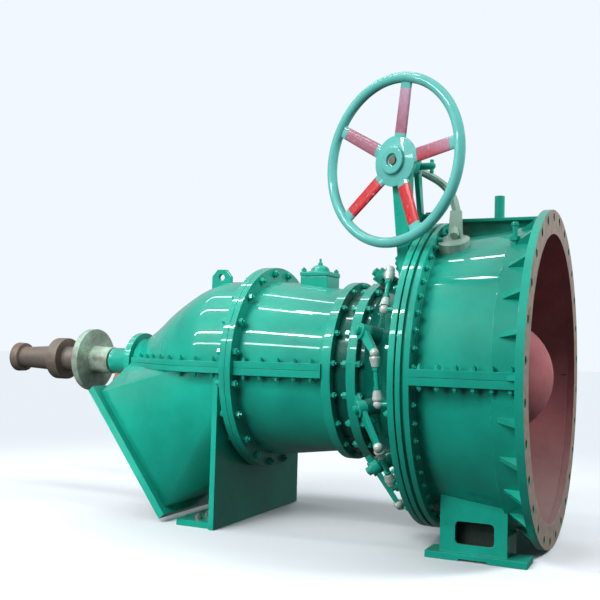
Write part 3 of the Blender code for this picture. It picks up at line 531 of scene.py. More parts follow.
def red_worn_and_painted_haze(name, colour):
    """Red paint worn in patches, with painted backlight haze: mauve on the upper spokes, pale violet towards the
    upper right, strong red on the lower ones.
    """
    tree, shader, place = new_finish(name)
    colour = tuple(colour)
    height = node(tree, "ShaderNodeSeparateXYZ", {"Vector": place}).outputs["Z"]
    patches = noise(tree, place, 26.0, 4.0, 0.6)
    # Higher up, the red turns mauve: painted backlight haze
    level = sum_of(tree, height, product(tree, patches, 0.10))
    middle = AXIS_Z + WHEEL_CENTRE[2] + 0.05
    base = blended(tree, spread(tree, level, middle - 0.04, middle + 0.05), colour, (0.27, 0.105, 0.150))
    # Towards the upper right, the spokes turn pale violet: more painted backlight haze
    beyond = node(tree, "ShaderNodeSeparateXYZ", {"Vector": place}).outputs["X"]
    hub_x = INLET_X - WHEEL_CENTRE[0]
    base = blended(tree, spread(tree, sum_of(tree, beyond, height), hub_x + middle + 0.10, hub_x + middle + 0.30),
                   base, (0.40, 0.29, 0.40))
    wear = noise(tree, place, 85.0, 5.0, 0.7)
    base = blended(tree, spread(tree, wear, 0.56, 0.70, 0.0, 0.55), base, (0.52, 0.36, 0.38))
    put(tree, shader, "Base Color", base)
    put(tree, shader, "Roughness", spread(tree, wear, 0.3, 0.7, 0.24, 0.55))
    put(tree, shader, "Coat Weight", 0.3)
    put(tree, shader, "Coat Roughness", 0.15)
    bumped(tree, shader, [(wear, 0.18, 0.0015), (patches, 0.10, 0.003)])


def rusty_iron(name, colour):
    tree, shader, place = new_finish(name)
    colour = tuple(colour)
    scale = noise(tree, place, 45.0, 8.0, 0.7)
    base = blended(tree, spread(tree, scale, 0.35, 0.65), scaled(colour, 0.6), (0.36, 0.20, 0.15))
    put(tree, shader, "Base Color", base)
    put(tree, shader, "Roughness", 0.85)
    bumped(tree, shader, [(scale, 0.6, 0.003)])


def gasket(name):
    tree, shader, place = new_finish(name)
    grain = noise(tree, place, 80.0, 4.0, 0.6)
    put(tree, shader, "Base Color", blended(tree, grain, (0.006, 0.014, 0.012), (0.030, 0.045, 0.040)))
    put(tree, shader, "Roughness", 0.7)
    bumped(tree, shader, [(grain, 0.3, 0.001)])


def plain_floor(name, colour):
    """A pale floor that runs into an evenly lit backdrop a few metres away."""
    tree, shader, place = new_finish(name)
    clouds = noise(tree, place, 0.6, 3.0, 0.5)
    put(tree, shader, "Base Color", blended(tree, clouds, scaled(colour, 0.97), colour))
    put(tree, shader, "Roughness", 0.9)
    far = node(tree, "ShaderNodeVectorMath", {0: place}, operation="LENGTH").outputs["Value"]
    lit = node(tree, "ShaderNodeEmission", {"Color": (0.87, 0.94, 1.0, 1.0), "Strength": 0.94})
    mix = node(tree, "ShaderNodeMixShader", {0: spread(tree, far, 1.9, 3.4), 1: shader.outputs[0],
                                             2: lit.outputs[0]})
    tree.links.new(mix.outputs[0], tree.nodes["Material Output"].inputs["Surface"])


def finish(name):
    """A finish by name, made the first time that it is asked for. The frame has plain materials of its own."""
    label = "turbine_" + name
    if label in bpy.data.materials:
        return bpy.data.materials[label]
    tones = colours()
    makers = {
        "green_enamel": lambda: enamel(label, tones.enamel),
        # A darker copy of the green enamel: painted shade on the guide casing's cone and on the throat ring
        "oily_enamel": lambda: enamel(label, scaled(tones.enamel, 0.30), 0.25),
        "wheel_enamel": lambda: enamel(label, tones.wheel, 0.36),
        "spoke_red": lambda: red_worn_and_painted_haze(label, tones.spoke),
        "faded_paint": lambda: enamel(label, (0.22, 0.34, 0.28), 0.4),
        "brown_primer": lambda: primer(label, tones.primer),
        "machined_face": lambda: bare_metal(label, tones.machined, tones.rust, 0.25, 0.5, 0.35, False),
        "bare_steel": lambda: bare_metal(label, tones.steel, tones.rust, metallic=0.6),
        "sprayed_steel": lambda: sprayed(label, tones.steel, tones.enamel),
        "pale_zinc": lambda: bare_metal(label, (0.58, 0.66, 0.62), scaled(tones.enamel, 0.6), 0.3, 0.3, 0.45, False),
        "dull_steel": lambda: bare_metal(label, scaled(tones.steel, 0.8), tones.rust, 0.7, 0.5, 0.5, False),
        "rusty_iron": lambda: rusty_iron(label, tones.rust),
        # Near-black: the joint strips, and the painted shade inside the front feet's windows
        "gasket": lambda: gasket(label),
        "pale_floor": lambda: plain_floor(label, (0.64, 0.68, 0.71)),
    }
    makers[name]()
    return bpy.data.materials[label]


# Geometry Nodes for what repeats

def new_tree(name, inputs):
    """An empty tree with named inputs. Returns the tree and its input sockets by name."""
    tree = bpy.data.node_groups.new(name, "GeometryNodeTree")
    tree.interface.new_socket("Geometry", in_out="OUTPUT", socket_type="NodeSocketGeometry")
    kinds = {int: "NodeSocketInt", float: "NodeSocketFloat", tuple: "NodeSocketVector"}
    for label, default in inputs.items():
        socket = tree.interface.new_socket(label, in_out="INPUT", socket_type=kinds[type(default)])
        socket.default_value = default
    tree.interface.new_socket("Finish", in_out="INPUT", socket_type="NodeSocketMaterial")
    entry = tree.nodes.new("NodeGroupInput")
    return tree, {socket.name: socket for socket in entry.outputs if socket.name}


def sum_of(tree, first, second, operation="ADD"):
    """The sum of two values, or what another operation makes of them."""
    return node(tree, "ShaderNodeMath", {0: first, 1: second}, operation=operation).outputs[0]


def product(tree, first, second):
    return sum_of(tree, first, second, "MULTIPLY")


def close_tree(tree, geometry, entry):
    real = node(tree, "GeometryNodeRealizeInstances", {"Geometry": geometry})
    painted = node(tree, "GeometryNodeSetMaterial", {"Geometry": real.outputs[0], "Material": entry["Finish"]})
    out = tree.nodes.new("NodeGroupOutput")
    tree.links.new(painted.outputs[0], out.inputs[0])
    return tree


def round_bar(tree, sides, radius, depth, lift):
    """A cylinder that stands on the height lift."""
    bar = node(tree, "GeometryNodeMeshCylinder", {"Vertices": sides, "Radius": radius, "Depth": depth})
    height = sum_of(tree, product(tree, depth, 0.5), lift)
    move = node(tree, "ShaderNodeCombineXYZ", {"Z": height}).outputs[0]
    return node(tree, "GeometryNodeTransform", {"Geometry": bar.outputs["Mesh"], "Translation": move}).outputs[0]


def bolt_nodes(tree, entry):
    """A hexagon nut on a washer with the end of its stud, standing on z = 0."""
    across = entry["Across"]
    washer_depth = product(tree, across, 0.12)
    washer = round_bar(tree, 18, product(tree, across, 0.64), washer_depth, 0.0)
    head = round_bar(tree, 6, product(tree, across, 0.577), entry["Height"], washer_depth)
    stud = round_bar(tree, 10, product(tree, across, 0.29),
                     sum_of(tree, entry["Height"], entry["Stud"]), washer_depth)
    merged = node(tree, "GeometryNodeJoinGeometry")
    for part in (washer, head, stud):
        tree.links.new(part, merged.inputs[0])
    return merged.outputs[0]


def spun_heads(tree, instances):
    """Turns each nut about its own stud by a seeded random angle."""
    chance = node(tree, "FunctionNodeRandomValue", {"Seed": 7}, data_type="FLOAT")
    chance.inputs[2].default_value = 0.0
    chance.inputs[3].default_value = 1.05
    turn = node(tree, "ShaderNodeCombineXYZ", {"Z": chance.outputs[1]}).outputs[0]
    return node(tree, "GeometryNodeRotateInstances", {"Instances": instances, "Rotation": turn,
                                                      "Local Space": True}).outputs[0]


def circle_points(tree, entry):
    """Points on a circle, and the angle of each."""
    points = node(tree, "GeometryNodeMeshLine", {"Count": entry["Count"]}, mode="OFFSET")
    index = node(tree, "GeometryNodeInputIndex").outputs[0]
    angle = sum_of(tree, entry["First Angle"], product(tree, index, entry["Pitch"]))
    turn = product(tree, angle, math.pi / 180.0)
    x = product(tree, entry["Circle"], sum_of(tree, turn, 0.0, "COSINE"))
    y = product(tree, entry["Circle"], sum_of(tree, turn, 0.0, "SINE"))
    spot = node(tree, "ShaderNodeCombineXYZ", {"X": x, "Y": y, "Z": entry["Height Along"]}).outputs[0]
    placed = node(tree, "GeometryNodeSetPosition", {"Geometry": points.outputs[0], "Position": spot})
    return placed.outputs[0], turn


def bolt_circle_tree():
    tree, entry = new_tree("bolt_circle", {"Count": 12, "Circle": 0.3, "First Angle": 0.0, "Pitch": 30.0,
                                           "Height Along": 0.0, "Tilt": 0.0, "Across": 0.024, "Height": 0.012,
                                           "Stud": 0.008})
    points, turn = circle_points(tree, entry)
    tilt = product(tree, entry["Tilt"], math.pi / 180.0)
    facing = node(tree, "ShaderNodeCombineXYZ", {"Y": tilt, "Z": turn}).outputs[0]
    bolts = node(tree, "GeometryNodeInstanceOnPoints", {"Points": points, "Instance": bolt_nodes(tree, entry),
                                                        "Rotation": facing})
    return close_tree(tree, spun_heads(tree, bolts.outputs[0]), entry)


def bolt_line_tree():
    tree, entry = new_tree("bolt_line", {"Count": 6, "Start": (0.0, 0.0, 0.0), "End": (1.0, 0.0, 0.0),
                                         "Facing": (0.0, 0.0, 1.0), "Across": 0.024, "Height": 0.012,
                                         "Stud": 0.008})
    points = node(tree, "GeometryNodeMeshLine", {"Count": entry["Count"], "Start Location": entry["Start"],
                                                 "Offset": entry["End"]}, mode="END_POINTS")
    facing = node(tree, "FunctionNodeAlignRotationToVector", {"Vector": entry["Facing"]}, axis="Z")
    bolts = node(tree, "GeometryNodeInstanceOnPoints", {"Points": points.outputs[0],
                                                        "Instance": bolt_nodes(tree, entry),
                                                        "Rotation": facing.outputs[0]})
    return close_tree(tree, spun_heads(tree, bolts.outputs[0]), entry)


def gusset_tree():
    tree, entry = new_tree("gusset_ring", {"Count": 28, "Circle": 0.52, "First Angle": 0.0, "Pitch": 12.857,
                                           "Height Along": 0.026, "Reach": 0.05, "Length": 0.06, "Toe": 0.01,
                                           "Thickness": 0.01})
    points, turn = circle_points(tree, entry)
    size = node(tree, "ShaderNodeCombineXYZ", {"X": entry["Reach"], "Y": entry["Thickness"],
                                               "Z": entry["Length"]}).outputs[0]
    plate = node(tree, "GeometryNodeMeshCube", {"Size": size}).outputs[0]
    half = node(tree, "ShaderNodeCombineXYZ", {"X": product(tree, entry["Reach"], 0.5),
                                               "Z": product(tree, entry["Length"], 0.5)}).outputs[0]
    plate = node(tree, "GeometryNodeTransform", {"Geometry": plate, "Translation": half}).outputs[0]
    here = node(tree, "ShaderNodeSeparateXYZ", {"Vector": node(tree, "GeometryNodeInputPosition").outputs[0]})
    outer = sum_of(tree, here.outputs["X"], product(tree, entry["Reach"], 0.5), "GREATER_THAN")
    far = sum_of(tree, here.outputs["Z"], product(tree, entry["Length"], 0.5), "GREATER_THAN")
    corner = product(tree, outer, far)
    toe = node(tree, "ShaderNodeCombineXYZ", {"X": entry["Toe"], "Y": here.outputs["Y"],
                                              "Z": here.outputs["Z"]}).outputs[0]
    plate = node(tree, "GeometryNodeSetPosition", {"Geometry": plate, "Selection": corner,
                                                   "Position": toe}).outputs[0]
    facing = node(tree, "ShaderNodeCombineXYZ", {"Z": turn}).outputs[0]
    ring = node(tree, "GeometryNodeInstanceOnPoints", {"Points": points, "Instance": plate, "Rotation": facing})
    return close_tree(tree, ring.outputs[0], entry)


def weld_tree():
    """A bead of weld round a circle, uneven as a hand leaves it."""
    tree, entry = new_tree("weld_bead", {"Circle": 0.5, "Height Along": 0.0, "Bead": 0.003, "Steps": 360})
    circle = node(tree, "GeometryNodeCurvePrimitiveCircle", {"Resolution": entry["Steps"],
                                                             "Radius": entry["Circle"]})
    lift = node(tree, "ShaderNodeCombineXYZ", {"Z": entry["Height Along"]}).outputs[0]
    placed = node(tree, "GeometryNodeSetPosition", {"Geometry": circle.outputs["Curve"], "Offset": lift})
    ripple = node(tree, "ShaderNodeTexNoise", {"Scale": 60.0, "Detail": 1.0}).outputs[0]
    thick = sum_of(tree, product(tree, ripple, 0.7), 0.65)
    curve = node(tree, "GeometryNodeSetCurveRadius", {"Curve": placed.outputs[0], "Radius": thick})
    ring = node(tree, "GeometryNodeCurvePrimitiveCircle", {"Resolution": 8, "Radius": entry["Bead"]})
    wires = {"Curve": curve.outputs[0], "Profile Curve": ring.outputs["Curve"]}
    bead = node(tree, "GeometryNodeCurveToMesh", wires)
    if "Scale" in bead.inputs:
        tree.links.new(thick, bead.inputs["Scale"])
    return close_tree(tree, bead.outputs[0], entry)


def hole_tree():
    """Drills a circle of holes through the mesh that carries the modifier."""
    tree = bpy.data.node_groups.new("drilled_ring", "GeometryNodeTree")
    tree.interface.new_socket("Geometry", in_out="OUTPUT", socket_type="NodeSocketGeometry")
    tree.interface.new_socket("Geometry", in_out="INPUT", socket_type="NodeSocketGeometry")
    for label, kind, default in (("Count", "NodeSocketInt", 28), ("Circle", "NodeSocketFloat", 0.56),
                                 ("First Angle", "NodeSocketFloat", 0.0), ("Pitch", "NodeSocketFloat", 12.857),
                                 ("Height Along", "NodeSocketFloat", 0.0), ("Hole", "NodeSocketFloat", 0.015),
                                 ("Depth", "NodeSocketFloat", 0.1)):
        tree.interface.new_socket(label, in_out="INPUT", socket_type=kind).default_value = default
    source = tree.nodes.new("NodeGroupInput")
    entry = {socket.name: socket for socket in source.outputs if socket.name}
    points, _ = circle_points(tree, entry)
    drill = node(tree, "GeometryNodeMeshCylinder", {"Vertices": 24, "Radius": entry["Hole"],
                                                    "Depth": entry["Depth"]})
    drills = node(tree, "GeometryNodeInstanceOnPoints", {"Points": points, "Instance": drill.outputs["Mesh"]})
    real = node(tree, "GeometryNodeRealizeInstances", {"Geometry": drills.outputs[0]})
    bored = node(tree, "GeometryNodeMeshBoolean", operation="DIFFERENCE", solver="EXACT")
    tree.links.new(entry["Geometry"], bored.inputs[0])
    tree.links.new(real.outputs[0], bored.inputs[1])
    out = tree.nodes.new("NodeGroupOutput")
    tree.links.new(bored.outputs[0], out.inputs[0])
    return tree


TREES = {"bolt_circle": bolt_circle_tree, "bolt_line": bolt_line_tree, "gusset_ring": gusset_tree,
         "weld_bead": weld_tree, "drilled_ring": hole_tree}


def grown(tree_name, values, place=AXIS, base=None):
    """The mesh that a tree makes with these inputs, put in place."""
    tree = bpy.data.node_groups.get(tree_name) or TREES[tree_name]()
    carrier = linked(tree_name, base or bpy.data.meshes.new(tree_name))
    step = carrier.modifiers.new(tree_name, "NODES")
    step.node_group = tree
    ids = {item.name: item.identifier for item in tree.interface.items_tree
           if item.item_type == "SOCKET" and item.in_out == "INPUT"}
    for label, value in values.items():
        step[ids[label]] = value
    mesh = evaluated(carrier)
    bpy.data.objects.remove(carrier)
    mesh.transform(place)
    return mesh


def gathered(meshes):
    """Several meshes as one shape. They are removed."""
    shape = bmesh.new()
    for mesh in meshes:
        shape.from_mesh(mesh)
        bpy.data.meshes.remove(mesh)
    return shape


def bolt_circle(count, circle, first, pitch, station, tilt, across, paint="green_enamel", stud=None, place=AXIS,
                height=None):
    return grown("bolt_circle", {
        "Count": count, "Circle": circle, "First Angle": first, "Pitch": pitch, "Height Along": station,
        "Tilt": tilt, "Across": across, "Height": height or 0.55 * across,
        "Stud": 0.3 * across if stud is None else stud, "Finish": finish(paint)}, place)


def bolt_line(count, start, end, facing, across):
    return grown("bolt_line", {
        "Count": count, "Start": tuple(start), "End": tuple(end), "Facing": tuple(facing), "Across": across,
        "Height": 0.55 * across, "Stud": 0.3 * across, "Finish": finish("green_enamel")}, AS_IS)


def weld(circle, station, bead=None):
    return grown("weld_bead", {"Circle": circle, "Height Along": station, "Bead": bead or sizes().weld,
                               "Finish": finish("green_enamel")})


# Pieces

def casing_bore(station):
    """The intake's bore radius at a station: a cone between its two ends."""
    share = (station - INTAKE_FRONT[0]) / (INTAKE_BACK[0] - INTAKE_FRONT[0])
    return INTAKE_FRONT[1] + share * (INTAKE_BACK[1] - INTAKE_FRONT[1])


def halves(name, slit):
    """Of a casing split at the axis: each half's name, whether it is the upper, its arc and its joint's heights."""
    return ((name + "_upper", True, (slit, 180.0 - slit), GAP / 2, JOINT_T),
            (name + "_lower", False, (180.0 + slit, 360.0 - slit), -JOINT_T, -GAP / 2))


class TURBINE_OT_intake_flange(bpy.types.Operator):
    """The intake's drilled flange and the gussets behind it"""
    bl_idname = "turbine.intake_flange"
    bl_label = "Intake flange"

    def execute(self, context):
        shape = bmesh.new()
        turned(shape, [(0.0, 0.503), (0.0, 0.5875), (0.026, 0.5875), (0.026, 0.503)], AS_IS,
               steps=224, edge=0.0012)
        ring = plain_mesh("intake_flange", shape)
        count = sizes().flange_holes
        drilled = grown("drilled_ring", {"Count": count, "Circle": 0.560, "First Angle": 180.0 / count,
                                         "Pitch": 360.0 / count, "Hole": 0.015}, AXIS, ring)
        shape = gathered([drilled])
        for face in shape.faces:
            centre = face.calc_center_median()
            radius = math.hypot(centre.y, centre.z - AXIS_Z)
            front = INLET_X - centre.x < 0.004
            face.material_index = 1 if front and radius < 0.5865 else 2 if radius < 0.5035 else 0
        piece("intake_flange", shape, ["green_enamel", "machined_face", "brown_primer"],
              replaces=["inlet_flange"])
        gussets = grown("gusset_ring", {"Count": sizes().gussets, "Circle": 0.528, "First Angle": 1.0,
                                        "Pitch": 360.0 / sizes().gussets, "Height Along": 0.0255,
                                        "Reach": 0.050, "Length": 0.062, "Toe": 0.006, "Thickness": 0.016,
                                        "Finish": finish("green_enamel")})
        piece("intake_gussets", gathered([gussets, weld(0.5325, 0.0275, 0.004)]), ["green_enamel"])
        return {"FINISHED"}


class TURBINE_OT_intake_casing(bpy.types.Operator):
    """The two halves of the intake casing, with their joint, rib and bolts"""
    bl_idname = "turbine.intake_casing"
    bl_label = "Intake casing"

    def execute(self, context):
        paints = ["green_enamel", "brown_primer"]
        for name, upper, arc, low, high in halves("intake_casing", 0.01):
            shape = bmesh.new()
            turned(shape, [
                (0.0262, 0.532), (0.105, 0.532), (0.110, 0.519), (0.340, 0.495), (0.358, 0.495), (0.358, 0.553),
                (0.376, 0.553), (0.376, 0.464), (0.0262, 0.503),
            ], arc=arc, steps=240, edge=0.0012)
            for side in (-1, 1):
                outer = side * 0.557
                inner = [(0.031, side * (casing_bore(0.031) + 0.004)), (0.360, side * (casing_bore(0.360) + 0.004))]
                outline = [(INLET_X - 0.031, inner[0][1]), (INLET_X - 0.031, outer), (INLET_X - 0.360, outer),
                           (INLET_X - 0.360, inner[1][1])]
                slab(shape, outline, ON_AXIS, low, high, 0.002)
            if upper:
                slab(shape, [(INLET_X - 0.358, 0.485), (INLET_X - 0.040, 0.525), (INLET_X - 0.040, 0.556),
                             (INLET_X - 0.358, 0.556)],
                     ON_AXIS @ Matrix.Rotation(math.pi / 2, 4, "X"), -0.007, 0.007, 0.001)
                block(shape, at(0.362, -0.050, 0.5535), at(0.050, 0.050, 0.5655))
            line_passage(shape, lambda station: casing_bore(station) + 0.003)
            piece(name + "_shell", shape, paints, replaces=[name])
        small = sizes().small_bolt
        bolts = []
        for side in (-1, 1):
            y = side * 0.541
            for facing, z in ((1, JOINT_T), (-1, -JOINT_T)):
                bolts.append(bolt_line(6, at(0.326, y, z), at(0.045, y, z), (0, 0, facing), small))
        bolts.append(bolt_circle(56, 0.530, 3.2, 360.0 / 56, 0.358, 180.0, small))
        piece("intake_bolts", gathered(bolts), ["green_enamel"])
        seams = [weld(0.4965, 0.357), weld(0.5195, 0.1095)]
        strip = bmesh.new()
        for side in (-1, 1):
            block(strip, at(0.3585, side * 0.500, -0.0011), at(0.033, side * 0.5555, 0.0011), edge=0.0)
        piece("intake_joint_gasket", strip, ["gasket"])
        piece("intake_seams", gathered(seams), ["green_enamel"])
        return {"FINISHED"}


class TURBINE_OT_bulb(bpy.types.Operator):
    """The bulb in the water's way, with its joint band and its stays"""
    bl_idname = "turbine.bulb"
    bl_label = "Bulb"

    def execute(self, context):
        shape = bmesh.new()
        nose = [(0.007 + 0.2 * (1 - math.cos(t)), 0.205 * math.sin(t))
                for t in [math.radians(3.75 * step) for step in range(25)]]
        nose[0] = (0.007, 0.0)
        turned(shape, nose + [(0.385, 0.205), (0.430, 0.196), (0.520, 0.160), (0.600, 0.136), (0.648, 0.130),
                              (0.648, 0.0)], steps=128, edge=0.004)
        band = [(0.030, 0.0), (0.035, 0.092), (0.085, 0.172), (0.140, 0.206), (0.207, 0.215), (0.380, 0.215)]
        outline = [(INLET_X - s, r) for s, r in band] + [(INLET_X - s, -r) for s, r in reversed(band[1:])]
        slab(shape, eased(outline, 0.05, True), ON_AXIS, -0.025, 0.025, 0.003)
        for angle in (30, 90, 150, 210, 270, 330):
            side = Vector((1.0, 0.0, 0.0)).cross(outward(angle)) * 0.009
            corners = [around(station, radius, angle) + sign * side for sign in (-1, 1)
                       for station, radius in ((0.170, 0.15), (0.210, casing_bore(0.210) - 0.0008),
                                               (0.350, casing_bore(0.350) - 0.0008), (0.350, 0.15))]
            hull(shape, corners, 0.003)
        piece("bulb_shell", shape, ["brown_primer"], replaces=["bulb"])
        return {"FINISHED"}


class TURBINE_OT_guide_casing(bpy.types.Operator):
    """The conical guide casing with a boss for each stem, and the throat behind it"""
    bl_idname = "turbine.guide_casing"
    bl_label = "Guide casing and throat"

    def execute(self, context):
        shape = bmesh.new()
        cone_in = CONE_SUM - 0.020
        turned(shape, [
            (0.3763, 0.464), (0.3763, 0.540), (0.387, 0.540), (0.387, 0.553), (0.404, 0.553), (0.404, 0.492),
            (0.4085, 0.492), (0.4085, 0.474), (0.436, 0.474), (0.436, CONE_SUM - 0.436), (0.600, 0.307),
            (0.622, 0.307), (0.622, 0.333), (0.657, 0.333), (0.657, 0.290), (cone_in - 0.290, 0.290),
            (cone_in - 0.464, 0.464),
        ], steps=224, edge=0.002)
        for number in range(VANES):
            place = vane_frame(number)
            turned(shape, [(-0.008, 0.016), (-0.008, 0.034), (0.006, 0.0305), (0.040, 0.030), (0.040, 0.016)],
                   place, steps=40, edge=0.002)
        line_passage(shape, lambda station: 0.470)
        # The cone between the flanges gets the darker enamel: painted shade among the guide gear
        for face in shape.faces:
            if face.material_index == 0 and 0.437 < INLET_X - face.calc_center_median().x < 0.6215:
                face.material_index = 2
        piece("guide_casing_shell", shape, ["green_enamel", "brown_primer", "oily_enamel"],
              replaces=["guide_casing", "guide_flange"])
        # The throat ring gets the darker enamel as well: painted shade in the groove between the flanges
        throat = bmesh.new()
        turned(throat, [(0.6573, 0.290), (0.6573, 0.303), (0.7147, 0.303), (0.7147, 0.290)], edge=0.001)
        line_passage(throat, lambda station: 0.292)
        piece("throat_shell", throat, ["oily_enamel", "brown_primer"], replaces=["throat_ring"])
        across = sizes().large_bolt
        bolts = [bolt_circle(18, 0.3185, 5.0, 20.0, 0.657, 0.0, across),
                 bolt_circle(18, 0.3185, 5.0, 20.0, 0.622, 180.0, across * 0.9),
                 bolt_circle(28, 0.523, 6.4, 360.0 / 28, 0.404, 0.0, across * 0.72, stud=0.0, height=0.004)]
        piece("throat_bolts", gathered(bolts), ["green_enamel"])
        return {"FINISHED"}


class TURBINE_OT_runner_chamber(bpy.types.Operator):
    """The runner chamber's halves, their bolted joint and the inspection cover"""
    bl_idname = "turbine.runner_chamber"
    bl_label = "Runner chamber"

    def execute(self, context):
        paints = ["green_enamel", "brown_primer"]
        for name, upper, arc, low, high in halves("runner_chamber", 0.02):
            shape = bmesh.new()
            turned(shape, [
                (0.715, 0.337), (0.750, 0.337), (0.750, 0.306), (1.055, 0.345), (1.081, 0.345), (1.081, 0.398),
                (1.1047, 0.398), (1.1047, 0.329), (0.930, 0.290), (0.715, 0.290),
            ], arc=arc, steps=200)
            for side in (-1, 1):
                slab(shape, [(INLET_X - 0.748, side * 0.298), (INLET_X - 0.748, side * 0.345),
                             (INLET_X - 1.083, side * 0.378), (INLET_X - 1.083, side * 0.332)],
                     ON_AXIS, low, high, 0.002)
            if upper:
                block(shape, at(0.966, -0.062, 0.310), at(0.850, 0.062, 0.360), edge=0.004)
            line_passage(shape, lambda station: 0.295 if station < 0.93 else 0.295 + 0.223 * (station - 0.93))
            piece(name + "_shell", shape, paints, replaces=[name])
        cover = bmesh.new()
        block(cover, at(0.968, -0.065, 0.3603), at(0.848, 0.065, 0.378), edge=0.004)
        dome = [(0.013 + 0.026 * math.sin(t), 0.038 * math.cos(t)) for t in [math.radians(10 * n) for n in range(9)]]
        turned(cover, [(0, 0), (0, 0.050), (0.011, 0.050), (0.013, 0.040), *dome, (0.039, 0)],
               Matrix.Translation(at(0.908, 0.0, 0.370)), steps=64, edge=0.002)
        rod(cover, at(0.908, 0.0, 0.39), at(0.908, 0.0, 0.434), 0.0055, 0.0045)
        nut(cover, Matrix.Translation(at(0.908, 0.0, 0.4085)), 0.017, 0.009)
        piece("inspection_lid", cover, ["green_enamel"], replaces=["inspection_cover"])
        across, small = sizes().large_bolt, sizes().small_bolt
        bolts = []
        for side in (-1, 1):
            for facing, z in ((1, JOINT_T), (-1, -JOINT_T)):
                bolts.append(bolt_line(5, at(0.790, side * 0.331, z), at(1.045, side * 0.357, z), (0, 0, facing),
                                       small))
            bolts.append(bolt_line(2, at(0.861, side * 0.052, 0.378), at(0.955, side * 0.052, 0.378), (0, 0, 1),
                                   small))
        bolts.append(bolt_circle(18, 0.3225, 5.0, 20.0, 0.715, 180.0, across * 0.8))
        bolts.append(bolt_circle(20, 0.375, 9.0, 18.0, 1.081, 180.0, across))
        piece("chamber_bolts", gathered(bolts), ["green_enamel"])
        piece("chamber_seams", gathered([weld(0.3455, 1.0795, 0.003), weld(0.3065, 0.751, 0.003)]),
              ["green_enamel"])
        return {"FINISHED"}


def hood_profile(inset):
    """The hood's outline moved in by an inset, and no wider than the elbow's body."""
    return [(station, min(radius - inset, BODY_R - inset)) for station, radius in smooth_hood()]


def smooth_hood():
    """The hood's outline with a point every few millimetres, through the CAD's points."""
    points = [Vector((s, r)) for s, r in HOOD]
    line = []
    for n in range(len(points) - 1):
        before = points[max(0, n - 1)]
        start, end = points[n], points[n + 1]
        after = points[min(len(points) - 1, n + 2)]
        for step in range(5):
            t = step / 5
            place = 0.5 * ((2 * start) + (end - before) * t + (2 * before - 5 * start + 4 * end - after) * t * t
                           + (3 * start - before - 3 * end + after) * t ** 3)
            line.append((place.x, place.y))
    return line + [HOOD[-1]]


def elbow_points(grow, past):
    """The corners whose hull is the elbow's lower body, round at one end and square at the outlet."""
    length, ahead, out = outlet_directions()
    corner = at(OUTLET_TOP[0], 0, OUTLET_TOP[1]) - out * (OUTLET_T + GAP) + out * past
    inset = OUTLET_LIP - grow
    points = [corner + ahead * share + Vector((0, side * (OUTLET_HALF_WIDTH - inset), 0))
              for share in (inset, length - inset) for side in (-1, 1)]
    start = 1.115 if past == 0.0 else 1.1148
    for step in range(97):
        angle = -math.pi * step / 96
        radius = BODY_R + grow
        points += [at(station, -radius * math.cos(angle), radius * math.sin(angle)) for station in (start, 1.160)]
    for station, radius in hood_profile(-grow):
        points += [at(min(station, 1.700 if grow < 0 else HOOD[-1][0]), side * radius, 0.0) for side in (-1, 1)]
    for step in range(1, 30):
        angle = math.radians(-6 * step)
        radius = HOOD[-1][1] + grow
        points.append(at(1.690 if grow < 0 else HOOD[-1][0], -radius * math.cos(angle), radius * math.sin(angle)))
    if grow < 0:
        points += [point + Vector((0, 0, 0.0005)) for point in points if point.z > AXIS_Z - 0.001]
    return points


def elbow_lower_shape():
    """The hollow lower body, its passage bored out and lined."""
    outer = hull_shape(elbow_points(0.0, 0.0))
    skin = BVHTree.FromBMesh(outer)
    objects = []
    for name, part in (("elbow_body", outer), ("elbow_core", hull_shape(elbow_points(-WALL, 0.002)))):
        objects.append(linked(name, plain_mesh(name, part)))
    step = objects[0].modifiers.new("bore", "BOOLEAN")
    step.operation, step.solver, step.object = "DIFFERENCE", "EXACT", objects[1]
    mesh = evaluated(objects[0])
    for obj in objects:
        bpy.data.objects.remove(obj)
    shape = gathered([mesh])
    for face in shape.faces:
        found = skin.find_nearest(face.calc_center_median())
        face.material_index = 1 if found[3] > 0.006 else 0
    return shape


